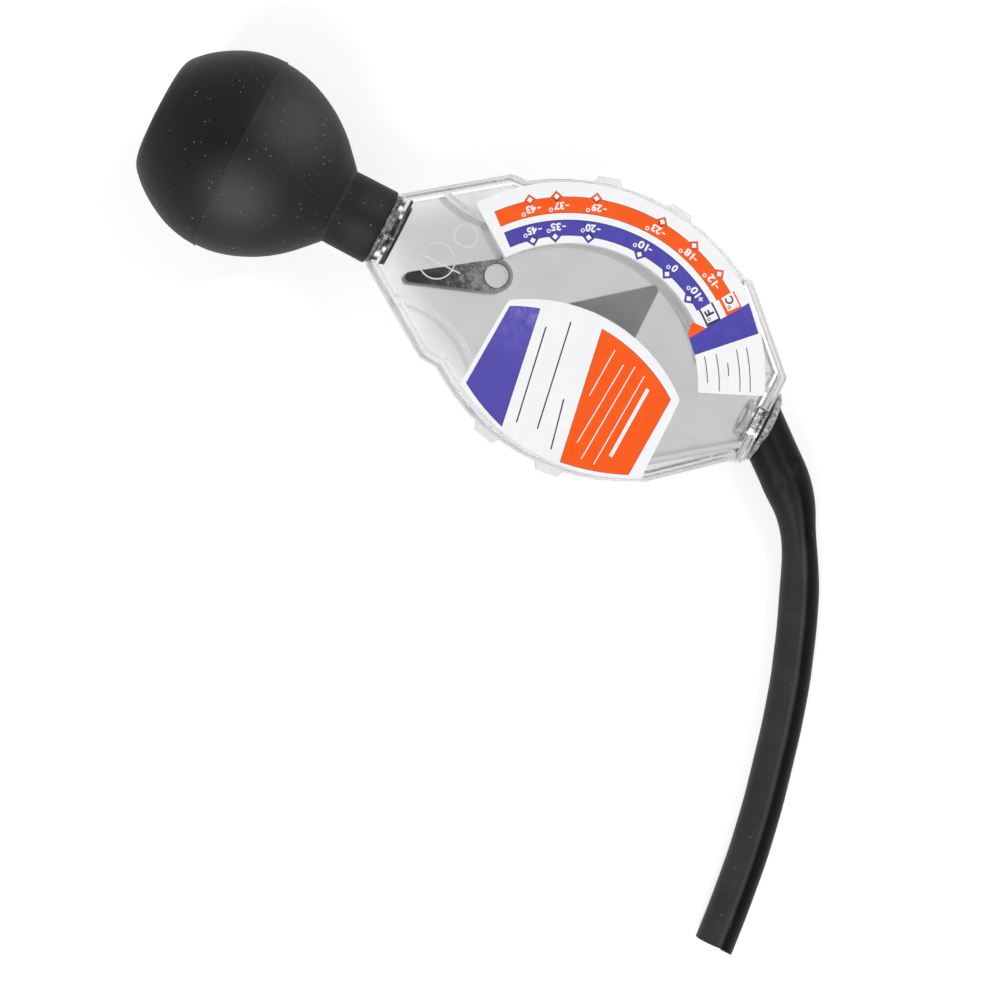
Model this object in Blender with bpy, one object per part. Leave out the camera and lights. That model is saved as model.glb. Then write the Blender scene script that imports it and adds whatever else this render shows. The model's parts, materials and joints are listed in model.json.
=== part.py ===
# Antifreeze tester: a clear two-part housing with a swinging pointer, a rubber squeeze bulb
# at one end and a rubber suction hose at the other.
# Housing frame: +X from the bulb to the hose, +Y to the scale side, +Z up out of the dial.
# Its origin is on the bulb-end face, in the parting plane of the two shells.
# The tester lies on a table, so the housing frame is tilted until bulb and housing both touch it.

import math

import bmesh
import bpy
from mathutils import Vector
from mathutils.geometry import interpolate_bezier

MM = 0.001

# Gaps
SEAT_GAP = 0.3 * MM  # between pieces that touch on the real tester
PIN_GAP = 0.1 * MM  # round the pointer's pin and the pressed-in weight
OVERRUN = 2.0 * MM  # how far a cutter runs past what it cuts
MERGE_GAP = 0.001 * MM  # points closer than this are one point
SHARP_ANGLE = 30.0  # degrees, past which an edge is shaded sharp

# Housing outline, seen from above
BODY_LENGTH = 108.4 * MM
SCALE_REACH = 38.3 * MM  # from the bulb's axis to the top of the scale side
REST_REACH = 34.3 * MM  # from the bulb's axis to the edge opposite the scale
BULB_FACE_WIDTH = 19.6 * MM
HOSE_FACE_ABOVE = 13.9 * MM
HOSE_FACE_BELOW = 10.5 * MM
SCALE_SIDE_SHARES = {
    "ramp": (0.208, 0.713), "shoulder": (0.245, 0.719), "crown": (0.560, 1.0),
    "arc_end": (0.798, 0.824), "hose_shoulder": (0.815, 0.838),
}
REST_SIDE_SHARES = {
    "ramp": (0.213, 0.714), "shoulder": (0.257, 0.720), "crown": (0.575, 1.0),
    "arc_end": (0.796, 0.789), "hose_shoulder": (0.817, 0.761), "lug": (0.968, 0.344),
}
OUTLINE_ARC_STEPS = 12
STRAIGHT_SHARE = 1e-6  # of a right angle's sine, below which two edges run on straight

# Housing walls
HALF_DEPTH = 9.6 * MM  # from the parting plane to each outer face
FLANGE_WIDTH = 0.6 * MM
FLANGE_HEIGHT = 1.2 * MM
SIDE_DRAFT = 0.2 * MM
EDGE_RADIUS = 0.5 * MM
EDGE_STEPS = 2
SIDE_WALL = 1.6 * MM
FLOOR = 1.5 * MM
FLOOR_CHAMFER = 0.7 * MM
BULB_WALL = 3.0 * MM
HOSE_WALL = 3.4 * MM
PAD_RISE = 0.4 * MM  # the labels' raised pad
PAD_MARGIN = 0.2 * MM
TAB_LENGTH = 7.2 * MM
TAB_REACH = 1.7 * MM
TAB_CHAMFER = 0.8 * MM
SCALE_TAB_SHARES = (0.420, 0.600)
REST_TAB_SHARES = (0.432, 0.600)

# Ribs that wall in the sample chamber
RIB = 1.6 * MM
CORNER_RADIUS = 26.0 * MM
CORNER_STATION = 18.1 * MM
CORNER_REACH = 12.4 * MM  # from the bulb's axis to the nearest point of a corner rib
CORNER_RIB_SPAN = (5.0, 170.0)  # degrees, from the hose side round to the bulb side
CHAMBER_RADIUS_SHARE = 0.3275  # of the body's length
CHAMBER_RADIUS = CHAMBER_RADIUS_SHARE * BODY_LENGTH  # about the pointer's pivot
CHAMBER_START = 144.4  # degrees, at the bulb end of the scale
CHAMBER_END = 37.0
GATE_RUN = 11.5 * MM  # straight rib from the chamber's arc back to the corner rib
EXIT_RIB_SHARES = ((0.665, -0.905), (0.968, -0.165))  # of body length and rest reach
EXIT_TOP_LIFT = 8.0 * MM
RIB_ARC_STEPS = 24

# Pointer, its pin and its stops
PIVOT_SHARES = (0.5443, -0.4052)  # of the body's length and the rest side's reach
PIVOT = (PIVOT_SHARES[0] * BODY_LENGTH, PIVOT_SHARES[1] * REST_REACH)
TIP_GAP = 1.1 * MM  # from the pointer's tip to the chamber's wall
TIP_RADIUS = CHAMBER_RADIUS - TIP_GAP
TIP_ANGLE = 74.4  # degrees from +X, at rest
TIP_ROUND = 1.3 * MM
LEAD_EDGE_SHARE = 0.569  # of the chamber's radius, to the edge that leads towards the cold end
LEAD_ANGLE = 132.4
TRAIL_EDGE_SHARE = 0.3028  # of the chamber's radius, to the edge that leads towards the warm end
CORNER_ROUND = 1.5 * MM
VANE_THICKNESS = 2.4 * MM
HUB_RADIUS = 4.0 * MM
HUB_LENGTH = 4.0 * MM
PIN_RADIUS = 0.8 * MM
PIN_LENGTH = 12.0 * MM
BOSS_RADIUS = 3.2 * MM
WEIGHT_RADIUS = 2.2 * MM
WEIGHT_REACH_SHARE = 0.614  # of the distance from the pivot to the trailing edge
WEIGHT_ANGLE = -60.0
WARM_SWING = 25.0  # degrees from rest to the warm stop
STOP_POST_RADIUS = 1.5 * MM
STOP_POST_REACH = 12.0 * MM  # along the trailing edge
DISC_STEPS = 24

# Baffle: a wedge between the bulb's port and the pointer, hooked over a boss
BAFFLE_BOSS_SHARE = 0.9245  # of the chamber's radius, from the pivot
BAFFLE_BOSS_ANGLE = 150.6
BAFFLE_BOSS_RADIUS = 3.0 * MM
BAFFLE_NOSE = (11.5 * MM, -8.0 * MM)
BAFFLE_NOSE_RADIUS = 1.3 * MM
BAFFLE_RIM = 0.9 * MM

# Squeeze bulb, about its own centre
BULB_RADIUS = 25.5 * MM
BULB_CENTRE = -39.8 * MM
RUBBER_WALL = 2.6 * MM
NECK_RADIUS = 9.8 * MM
STUB_RADIUS = 5.9 * MM
LIP_RADIUS = 7.4 * MM
LIP_LENGTH = 1.4 * MM
AIR_BORE = 4.0 * MM
BULB_STEPS = 48
BULB_BACK_SHARES = (
    (-0.872, 0.480), (-0.866, 0.535), (-0.838, 0.588), (-0.780, 0.655), (-0.700, 0.732),
    (-0.600, 0.805), (-0.500, 0.866), (-0.375, 0.927), (-0.250, 0.968), (-0.120, 0.992),
)
BULB_FRONT_SHARES = (
    (0.120, 0.984), (0.250, 0.960), (0.400, 0.912), (0.560, 0.838), (0.700, 0.752),
    (0.845, 0.637), (0.960, 0.521),
)
CREASE_SHARE = 1.083
SEAM_STEP = 0.25 * MM

# Hose nipple: a bent tube held in the hose-end wall
NIPPLE_RADIUS = 3.7 * MM
NIPPLE_BORE = 2.4 * MM
NIPPLE_LENGTH = 14.0 * MM
NIPPLE_ANGLE = -38.0  # degrees from +X, in the plane of the dial
NIPPLE_HEIGHT = 0.6 * MM  # above the bulb's axis
NIPPLE_START = 0.5 * MM  # from the hose-end face to the bend
COLLAR_RADIUS = 4.9 * MM
COLLAR_LENGTH = 1.4 * MM
TUBE_STEPS = 16

# Labels
LABEL_THICKNESS = 0.3 * MM
LABEL_MARGIN = 0.15 * MM
LABEL_CORNER = 1.4 * MM
LABEL_CORNER_STEPS = 4
LABEL_SHARPEST = 155.0  # degrees, the widest corner that is still rounded
SCALE_LABEL_START = 144.2
SCALE_LABEL_END = 24.3
SCALE_LABEL_STEP = 52.0
SCALE_LABEL_STEP_SPAN = 2.5
SCALE_LABEL_WIDENS = 2.9 * MM
SCALE_LABEL_SHARES = (
    (0.158, 0.407), (0.325, 0.812), (0.540, 0.952), (0.780, 0.786), (0.963, 0.172),
)
CENTRE_LABEL_TOP_SHARES = ((0.328, -0.048), (0.560, 0.144), (0.7915, -0.105))
CENTRE_LABEL_BASE_SHARES = ((0.794, -0.764), (0.578, -0.957), (0.317, -0.760))

# Glue: a ring in a counterbore round the bulb's stub, and a collar round the hose
GLUE_SEAT_RADIUS = 8.6 * MM
GLUE_SEAT_DEPTH = 2.2 * MM
BEAD_LUMP = 0.35 * MM
HOSE_BEAD_LENGTH = 1.8 * MM
HOSE_BEAD_REACH = 1.5 * MM
BEAD_WAVES = (5, 11)
BEAD_PHASE = 1.0
HOSE_BEAD_SHARES = ((1.0, 0.0), (0.97, 0.6), (0.86, 1.0))  # of its radius, of its length
BEAD_STEPS = 40

# Suction hose
HOSE_RADIUS = 5.15 * MM
HOSE_BORE = 2.4 * MM
HOSE_STEP_SHARE = 1.2  # of the hose's diameter, between two points of its curve
ROUTE_PARTS = 12  # straight parts read between two points of the route
HANDLE_SHARE = 1 / 6  # of the way between a point's two neighbours
HOSE_SIDES = 4  # a curve's bevel resolution, for twelve sides
STRETCHED_SHARE = 1.22  # the hose's radius over the nipple, against its own
NECKED_SHARE = 0.88  # where it draws in beyond the bend
STRETCH_END = 17.0 * MM
NECKED_AT = 32.0 * MM
RELAXED_AT = 48.0 * MM
# The route from the hose-end face to the open end, in the world, chosen by hand
HOSE_ROUTE = (
    (0.0787, -0.0010, 0.0094), (0.0830, -0.0045, 0.0089), (0.0870, -0.0075, 0.0085),
    (0.0909, -0.0106, 0.0081), (0.0961, -0.0154, 0.0073), (0.1001, -0.0207, 0.0065),
    (0.1036, -0.0263, 0.0058), (0.1066, -0.0320, 0.0054), (0.1093, -0.0379, 0.0052),
    (0.1118, -0.0439, 0.0052), (0.1141, -0.0500, 0.0052), (0.1163, -0.0561, 0.0052),
    (0.1182, -0.0623, 0.0052), (0.1200, -0.0686, 0.0052), (0.1216, -0.0750, 0.0052),
    (0.1232, -0.0815, 0.0052), (0.1247, -0.0880, 0.0052), (0.1260, -0.0946, 0.0052),
    (0.1272, -0.1014, 0.0052), (0.1282, -0.1087, 0.0052), (0.1292, -0.1170, 0.0052),
    (0.1301, -0.1262, 0.0052),
)

COLOURS = {
    "clear_plastic": ((0.80, 0.81, 0.82, 1.0), 0.12, 0.0),
    "bulb_rubber": ((0.030, 0.030, 0.032, 1.0), 0.62, 0.0),
    "hose_rubber": ((0.020, 0.020, 0.022, 1.0), 0.45, 0.0),
    "grey_plastic": ((0.22, 0.22, 0.22, 1.0), 0.55, 0.0),
    "dark_plastic": ((0.07, 0.07, 0.07, 1.0), 0.5, 0.0),
    "brass": ((0.70, 0.52, 0.24, 1.0), 0.35, 1.0),
    "steel": ((0.60, 0.60, 0.62, 1.0), 0.3, 1.0),
    "printed_label": ((0.90, 0.90, 0.93, 1.0), 0.45, 0.0),
    "glue": ((0.55, 0.55, 0.55, 1.0), 0.25, 0.0),
}


# Plane geometry

def polar(centre, radius, degrees):
    angle = math.radians(degrees)
    return (centre[0] + radius * math.cos(angle), centre[1] + radius * math.sin(angle))


def arc_points(centre, radius, start, end, steps):
    return [polar(centre, radius, start + (end - start) * i / steps) for i in range(steps + 1)]


def arc_through(first, middle, last, steps):
    # Points on the circle through three places, from the first to the last.
    ax, ay = first
    bx, by = middle
    cx, cy = last
    double_area = 2 * (ax * (by - cy) + bx * (cy - ay) + cx * (ay - by))
    a2 = ax * ax + ay * ay
    b2 = bx * bx + by * by
    c2 = cx * cx + cy * cy
    centre = (
        (a2 * (by - cy) + b2 * (cy - ay) + c2 * (ay - by)) / double_area,
        (a2 * (cx - bx) + b2 * (ax - cx) + c2 * (bx - ax)) / double_area,
    )
    radius = math.hypot(ax - centre[0], ay - centre[1])
    start, between, end = [
        math.degrees(math.atan2(y - centre[1], x - centre[0])) for x, y in (first, middle, last)
    ]
    turn = (end - start) % 360
    if (between - start) % 360 > turn:
        turn -= 360
    return arc_points(centre, radius, start, start + turn, steps)


def disc(centre, radius, steps=DISC_STEPS):
    return [polar(centre, radius, 360 * i / steps) for i in range(steps)]


def hull(points):
    # The convex outline round a set of points, anticlockwise.
    ordered = sorted(points)

    def half(run):
        chain = []
        for p in run:
            while len(chain) > 1:
                (ax, ay), (bx, by) = chain[-2], chain[-1]
                if (bx - ax) * (p[1] - ay) - (by - ay) * (p[0] - ax) > 0:
                    break
                chain.pop()
            chain.append(p)
        return chain[:-1]

    return half(ordered) + half(ordered[::-1])


def inset(points, distances):
    # Moves each edge of an anticlockwise outline inwards by its own distance.
    moved = []
    count = len(points)
    for i in range(count):
        before, here, after = points[i - 1], points[i], points[(i + 1) % count]
        u = Vector((here[0] - before[0], here[1] - before[1])).normalized()
        v = Vector((after[0] - here[0], after[1] - here[1])).normalized()
        du, dv = distances[i - 1], distances[i]
        cross = u.x * v.y - u.y * v.x
        straight = math.isclose(cross, 0.0, abs_tol=STRAIGHT_SHARE)
        along = 0.0 if straight else (dv - du * u.dot(v)) / cross
        normal = Vector((-u.y, u.x))
        place = Vector(here) + normal * du - u * along
        moved.append((place.x, place.y))
    return moved


def rounded(points, radius):
    # Rounds a label's corners and leaves the points of its curved edges.
    out = []
    count = len(points)
    for i in range(count):
        here = Vector(points[i])
        back = Vector(points[i - 1]) - here
        ahead = Vector(points[(i + 1) % count]) - here
        corner = back.angle(ahead)
        if math.degrees(corner) > LABEL_SHARPEST:
            out.append(points[i])
            continue
        reach = min(radius / math.tan(corner / 2), back.length / 2, ahead.length / 2)
        start = here + back.normalized() * reach
        end = here + ahead.normalized() * reach
        for k in range(LABEL_CORNER_STEPS + 1):
            t = k / LABEL_CORNER_STEPS
            p = start * (1 - t) ** 2 + here * 2 * t * (1 - t) + end * t ** 2
            out.append((p.x, p.y))
    return out


# Housing outline

def scale_place(share):
    return (share[0] * BODY_LENGTH, share[1] * SCALE_REACH)


def rest_place(share):
    return (share[0] * BODY_LENGTH, -share[1] * REST_REACH)


def housing_outline():
    # Anticlockwise from the bulb-end face: first the side without the scale, then the scale side.
    low = {name: rest_place(share) for name, share in REST_SIDE_SHARES.items()}
    high = {name: scale_place(share) for name, share in SCALE_SIDE_SHARES.items()}
    below = [(0.0, -BULB_FACE_WIDTH / 2), low["ramp"]]
    below += arc_through(low["shoulder"], low["crown"], low["arc_end"], OUTLINE_ARC_STEPS)
    below += [low["hose_shoulder"], low["lug"], (BODY_LENGTH, -HOSE_FACE_BELOW)]
    above = [(BODY_LENGTH, HOSE_FACE_ABOVE), high["hose_shoulder"]]
    above += arc_through(high["arc_end"], high["crown"], high["shoulder"], OUTLINE_ARC_STEPS)
    above += [high["ramp"], (0.0, BULB_FACE_WIDTH / 2)]
    return below, above


def inset_housing(side, bulb_end=None, hose_end=None):
    # The housing outline moved inwards, with its two end faces moved by their own distances.
    below, above = housing_outline()
    distances = [side] * (len(below) + len(above))
    distances[len(below) - 1] = side if hose_end is None else hose_end
    distances[-1] = side if bulb_end is None else bulb_end
    return inset(below + above, distances)


def outline_crossing(points, station, upper):
    # The outline's place and slope at a station along the housing.
    best = None
    for i in range(len(points)):
        a, b = points[i], points[(i + 1) % len(points)]
        if a[0] == b[0] or not min(a[0], b[0]) <= station <= max(a[0], b[0]):
            continue
        y = a[1] + (b[1] - a[1]) * (station - a[0]) / (b[0] - a[0])
        if (y > 0) == upper:
            best = (y, math.atan2(b[1] - a[1], b[0] - a[0]))
    return best


# Blender objects

def clear_scene():
    for thing in list(bpy.data.objects):
        bpy.data.objects.remove(thing, do_unlink=True)


def material(name):
    colour, roughness, metallic = COLOURS[name]
    made = bpy.data.materials.get(name)
    if made:
        return made
    made = bpy.data.materials.new(name)
    made.use_nodes = True
    shader = made.node_tree.nodes["Principled BSDF"]
    shader.inputs["Base Color"].default_value = colour
    shader.inputs["Roughness"].default_value = roughness
    shader.inputs["Metallic"].default_value = metallic
    return made


def add_object(name, bm, parent, finish=None):
    bmesh.ops.recalc_face_normals(bm, faces=bm.faces)
    mesh = bpy.data.meshes.new(name)
    bm.to_mesh(mesh)
    bm.free()
    made = bpy.data.objects.new(name, mesh)
    bpy.context.scene.collection.objects.link(made)
    made.parent = parent
    if finish:
        mesh.materials.append(material(finish))
        mesh.shade_smooth()
        mesh.set_sharp_from_angle(angle=math.radians(SHARP_ANGLE))
    else:
        made.hide_render = True
        made.display_type = "WIRE"
    return made


def combine(target, tool, operation):
    cut = target.modifiers.new(operation.lower() + "_" + tool.name, "BOOLEAN")
    cut.operation = operation
    cut.solver = "EXACT"
    cut.object = tool
    return cut


def loft(levels):
    # A closed body through outlines of equal length, each at its own height.
    bm = bmesh.new()
    rings = [[bm.verts.new((x, y, height)) for x, y in points] for points, height in levels]
    for lower, upper in zip(rings, rings[1:]):
        for i in range(len(lower)):
            j = (i + 1) % len(lower)
            bm.faces.new((lower[i], lower[j], upper[j], upper[i]))
    bm.faces.new(rings[0][::-1])
    bm.faces.new(rings[-1])
    return bm


def prism(points, low, high):
    return loft([(points, low), (points, high)])


def turned(profile, steps):
    # Spins a profile of (place along the axis, radius) pairs round +X.
    bm = bmesh.new()
    verts = [bm.verts.new((x, 0.0, r)) for x, r in profile]
    edges = [bm.edges.new(pair) for pair in zip(verts, verts[1:])]
    bmesh.ops.spin(
        bm, geom=verts + edges, cent=(0, 0, 0), axis=(1, 0, 0), angle=math.tau, steps=steps,
        use_merge=True,
    )
    bmesh.ops.remove_doubles(bm, verts=bm.verts, dist=MERGE_GAP)
    return bm


# Housing shells

def shell_outside(name, side, parent):
    # One half's outer form: flange, drafted side wall and rounded edge, under a flat face.
    edge = FLANGE_WIDTH + SIDE_DRAFT
    levels = [
        (inset_housing(0.0), SEAT_GAP / 2),
        (inset_housing(0.0), FLANGE_HEIGHT),
        (inset_housing(FLANGE_WIDTH), FLANGE_HEIGHT),
    ]
    for i in range(EDGE_STEPS + 1):
        turn = math.pi / 2 * i / EDGE_STEPS
        inward = edge + EDGE_RADIUS * (1 - math.cos(turn))
        height = HALF_DEPTH - EDGE_RADIUS * (1 - math.sin(turn))
        levels.append((inset_housing(inward), height))
    body = loft([(points, side * height) for points, height in levels])
    return add_object(name, body, parent, "clear_plastic")


def tab(name, station, upper, side, parent):
    # A small tab that stands out of the flange, with chamfered corners.
    y, slope = outline_crossing(inset_housing(0.0), station, upper)
    out = 1 if upper else -1
    half = TAB_LENGTH / 2
    flat = half - TAB_CHAMFER
    root = -FLANGE_WIDTH
    shape = [
        (-half, root), (half, root), (half, 0.0), (flat, TAB_REACH), (-flat, TAB_REACH), (-half, 0.0),
    ]
    turn = math.atan(math.tan(slope))
    points = []
    for x, lift in shape:
        lift *= out
        points.append((
            station + x * math.cos(turn) - lift * math.sin(turn),
            y + x * math.sin(turn) + lift * math.cos(turn),
        ))
    return add_object(name, prism(points, side * SEAT_GAP / 2, side * FLANGE_HEIGHT), parent)


def straight_rib(first, second):
    # The outline of a straight rib to the left of the line from the first place to the second.
    a, b = Vector(first), Vector(second)
    along = (b - a).normalized()
    left = Vector((-along.y, along.x)) * RIB
    return [tuple(a), tuple(b), tuple(b + left), tuple(a + left)]


def ring_rib(centre, radius, start, end):
    inner = arc_points(centre, radius, start, end, RIB_ARC_STEPS)
    outer = arc_points(centre, radius + RIB, end, start, RIB_ARC_STEPS)
    return inner + outer


def chamber_ribs():
    # Outlines of the ribs that wall in the chamber, the same in both shells.
    high_corner = (CORNER_STATION, CORNER_REACH + CORNER_RADIUS)
    low_corner = (CORNER_STATION, -high_corner[1])
    first, last = CORNER_RIB_SPAN
    inner_ring = CORNER_RADIUS - RIB
    arc_start = polar(PIVOT, CHAMBER_RADIUS, CHAMBER_START)
    gate_far = polar(arc_start, GATE_RUN, CHAMBER_START)
    arc_end = polar(PIVOT, CHAMBER_RADIUS, CHAMBER_END)
    exit_low = [(x * BODY_LENGTH, y * REST_REACH) for x, y in EXIT_RIB_SHARES]
    exit_top = ((BODY_LENGTH - HOSE_WALL + OVERRUN, EXIT_TOP_LIFT), arc_end)
    return {
        "corner_scale": ring_rib(high_corner, inner_ring, -last, -first),
        "corner_rest": ring_rib(low_corner, inner_ring, first, last),
        "chamber_arc": ring_rib(PIVOT, CHAMBER_RADIUS, CHAMBER_END, CHAMBER_START),
        "gate": straight_rib(gate_far, arc_start),
        "exit_rest": straight_rib(exit_low[1], exit_low[0]),
        "exit_scale": straight_rib(exit_top[1], exit_top[0]),
    }


def trail_edge():
    return TRAIL_EDGE_SHARE * CHAMBER_RADIUS


def warm_post_centre():
    # Beside the trailing edge, where that edge arrives at the warm end of its swing.
    # The edge runs from the disc at the pivot to the rounded tip and touches both.
    lean = math.acos((trail_edge() - TIP_ROUND) / (TIP_RADIUS - TIP_ROUND))
    normal = TIP_ANGLE - math.degrees(lean) - WARM_SWING
    foot = polar(PIVOT, trail_edge() + SEAT_GAP + STOP_POST_RADIUS, normal)
    return polar(foot, STOP_POST_REACH, normal + 90)


def baffle_boss_centre():
    return polar(PIVOT, BAFFLE_BOSS_SHARE * CHAMBER_RADIUS, BAFFLE_BOSS_ANGLE)


def hollow(name, side, parent):
    # What is taken out of one shell: its inside, less the ribs, bosses and stops that stay.
    floor = HALF_DEPTH - FLOOR
    wall = FLANGE_WIDTH + SIDE_DRAFT + SIDE_WALL
    wide = inset_housing(wall, BULB_WALL, HOSE_WALL)
    narrow = inset_housing(wall + FLOOR_CHAMFER, BULB_WALL + FLOOR_CHAMFER, HOSE_WALL + FLOOR_CHAMFER)
    levels = [(wide, -side * OVERRUN), (wide, side * (floor - FLOOR_CHAMFER)), (narrow, side * floor)]
    inside = add_object(name, loft(levels), parent)
    top = side * (HALF_DEPTH + OVERRUN)
    kept = dict(chamber_ribs())
    kept["baffle_boss"] = disc(baffle_boss_centre(), BAFFLE_BOSS_RADIUS)
    kept["warm_post"] = disc(warm_post_centre(), STOP_POST_RADIUS, DISC_STEPS // 2)
    for part, points in kept.items():
        tool = add_object(name + "_" + part, prism(points, -side * 2 * OVERRUN, top), parent)
        combine(inside, tool, "DIFFERENCE")
    boss = prism(disc(PIVOT, BOSS_RADIUS), side * (HUB_LENGTH / 2 + SEAT_GAP), top)
    combine(inside, add_object(name + "_pivot_boss", boss, parent), "DIFFERENCE")
    return inside


def round_cutter(name, start, end, radius, height, parent):
    # A cylinder along +X between two stations, drawn so that its flats clear the radius.
    wide = radius / math.cos(math.pi / TUBE_STEPS)
    bm = turned([(start, 0.0), (start, wide), (end, wide), (end, 0.0)], TUBE_STEPS)
    bmesh.ops.translate(bm, verts=bm.verts, vec=(0, height, 0))
    return add_object(name, bm, parent)


def shell(name, side, parent):
    body = shell_outside(name, side, parent)
    for index, share in enumerate(SCALE_TAB_SHARES):
        combine(body, tab(f"{name}_scale_tab_{index}", share * BODY_LENGTH, True, side, parent), "UNION")
    for index, share in enumerate(REST_TAB_SHARES):
        combine(body, tab(f"{name}_rest_tab_{index}", share * BODY_LENGTH, False, side, parent), "UNION")
    combine(body, hollow(name + "_hollow", side, parent), "DIFFERENCE")
    inlet_end = BULB_WALL + OVERRUN
    inlet = round_cutter(name + "_bulb_port", -OVERRUN, inlet_end, STUB_RADIUS + SEAT_GAP, 0.0, parent)
    combine(body, inlet, "DIFFERENCE")
    seat = round_cutter(name + "_glue_seat", -OVERRUN, GLUE_SEAT_DEPTH, GLUE_SEAT_RADIUS, 0.0, parent)
    combine(body, seat, "DIFFERENCE")
    start = BODY_LENGTH - HOSE_WALL - OVERRUN
    end = BODY_LENGTH + OVERRUN
    wide = NIPPLE_RADIUS + SEAT_GAP
    outlet = round_cutter(name + "_hose_port", start, end, wide, NIPPLE_HEIGHT, parent)
    combine(body, outlet, "DIFFERENCE")
    socket = prism(disc(PIVOT, PIN_RADIUS + PIN_GAP), 0.0, side * (PIN_LENGTH / 2 + PIN_GAP))
    combine(body, add_object(name + "_pin_socket", socket, parent), "DIFFERENCE")
    return body


def label_pad(parent):
    # The raised pad under the labels, ended by the straight edges beside them.
    inward = FLANGE_WIDTH + SIDE_DRAFT + EDGE_RADIUS + PAD_MARGIN
    raised = prism(inset_housing(inward), HALF_DEPTH - PAD_RISE, HALF_DEPTH + PAD_RISE)
    pad = add_object("label_pad", raised, parent)
    outer = polar(PIVOT, BODY_LENGTH, SCALE_LABEL_START)
    inner = polar(PIVOT, CHAMBER_RADIUS, SCALE_LABEL_START)
    top = scale_place(CENTRE_LABEL_TOP_SHARES[0])
    base = scale_place((CENTRE_LABEL_BASE_SHARES[-1][0], 0.0))
    far = -BODY_LENGTH
    edge = [outer, inner, top, (base[0], far), (far, far), (far, outer[1])]
    away = prism(edge, 0.0, HALF_DEPTH + OVERRUN)
    combine(pad, add_object("beside_labels", away, parent), "DIFFERENCE")
    return pad


# Pointer

def vane_outline():
    # Round the tip, the hidden corner of the leading edge and the disc at the pivot.
    tip = polar((0.0, 0.0), TIP_RADIUS - TIP_ROUND, TIP_ANGLE)
    corner = polar((0.0, 0.0), LEAD_EDGE_SHARE * CHAMBER_RADIUS - CORNER_ROUND, LEAD_ANGLE)
    middle = disc((0.0, 0.0), trail_edge(), 2 * DISC_STEPS)
    return hull(disc(tip, TIP_ROUND) + disc(corner, CORNER_ROUND) + middle)


def pointer(parent):
    half = VANE_THICKNESS / 2
    vane = add_object("pointer_vane", prism(vane_outline(), -half, half), parent, "grey_plastic")
    hub = prism(disc((0.0, 0.0), HUB_RADIUS), -HUB_LENGTH / 2, HUB_LENGTH / 2)
    combine(vane, add_object("vane_hub", hub, parent), "UNION")
    reach = HUB_LENGTH / 2 + OVERRUN
    bore = prism(disc((0.0, 0.0), PIN_RADIUS + PIN_GAP), -reach, reach)
    combine(vane, add_object("vane_bore", bore, parent), "DIFFERENCE")
    place = polar((0.0, 0.0), WEIGHT_REACH_SHARE * trail_edge(), WEIGHT_ANGLE)
    pocket = prism(disc(place, WEIGHT_RADIUS + PIN_GAP), -reach, reach)
    combine(vane, add_object("weight_pocket", pocket, parent), "DIFFERENCE")
    slug = prism(disc(place, WEIGHT_RADIUS), -half, half)
    return vane, add_object("pointer_weight", slug, parent, "brass")


def pivot_pin(parent):
    half = PIN_LENGTH / 2
    return add_object("pivot_pin", prism(disc(PIVOT, PIN_RADIUS), -half, half), parent, "steel")


def baffle(parent):
    boss = baffle_boss_centre()
    rim = BAFFLE_BOSS_RADIUS + SEAT_GAP + BAFFLE_RIM
    outline = hull(disc(boss, rim) + disc(BAFFLE_NOSE, BAFFLE_NOSE_RADIUS))
    half = HALF_DEPTH - FLOOR - SEAT_GAP
    made = add_object("stop_baffle", prism(outline, -half, half), parent, "dark_plastic")
    hole = prism(disc(boss, BAFFLE_BOSS_RADIUS + SEAT_GAP), -half - OVERRUN, half + OVERRUN)
    combine(made, add_object("baffle_hole", hole, parent), "DIFFERENCE")
    return made


# Rubber bulb

def bulb(parent):
    # Turned profile: flat end, belly with its moulding seam, creased neck, stub and lip inside the port.
    crease = BULB_CENTRE + CREASE_SHARE * BULB_RADIUS
    back = [(BULB_CENTRE + x * BULB_RADIUS, r * BULB_RADIUS) for x, r in BULB_BACK_SHARES]
    front = [(BULB_CENTRE + x * BULB_RADIUS, r * BULB_RADIUS) for x, r in BULB_FRONT_SHARES]
    flat = back[0][0]
    outside = [(flat, 0.0)] + back
    outside += [(BULB_CENTRE, BULB_RADIUS), (BULB_CENTRE + SEAM_STEP, BULB_RADIUS - SEAM_STEP)]
    lip = BULB_WALL + SEAT_GAP
    outside += front + [(crease, NECK_RADIUS), (-SEAT_GAP, NECK_RADIUS), (-SEAT_GAP, STUB_RADIUS)]
    outside += [(lip, STUB_RADIUS), (lip, LIP_RADIUS), (lip + LIP_LENGTH, LIP_RADIUS)]
    inner = 1 - RUBBER_WALL / BULB_RADIUS
    shares = BULB_BACK_SHARES[::2] + ((0.0, 1.0),) + BULB_FRONT_SHARES[1::2]
    inside = [(BULB_CENTRE + x * inner * BULB_RADIUS, r * inner * BULB_RADIUS) for x, r in shares]
    inside = [(inside[0][0], 0.0)] + inside
    inside += [(crease - RUBBER_WALL / 2, AIR_BORE), (lip + LIP_LENGTH, AIR_BORE)]
    whole = turned(outside + inside[::-1], BULB_STEPS)
    return add_object("squeeze_bulb", whole, parent, "bulb_rubber")


# Tubes

def tube_curve(name, points, radii, parent=None):
    # A guide tube on a poly spline, one radius share at each point.
    data = bpy.data.curves.new(name, "CURVE")
    data.dimensions = "3D"
    data.bevel_depth = HOSE_RADIUS
    data.bevel_resolution = HOSE_SIDES
    data.use_fill_caps = True
    spline = data.splines.new("POLY")
    spline.points.add(len(points) - 1)
    for point, place, radius in zip(spline.points, points, radii):
        point.co = (*place, 1.0)
        point.radius = radius / HOSE_RADIUS
    made = bpy.data.objects.new(name, data)
    bpy.context.scene.collection.objects.link(made)
    made.parent = parent
    made.hide_render = True
    made.display_type = "WIRE"
    return made


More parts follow.
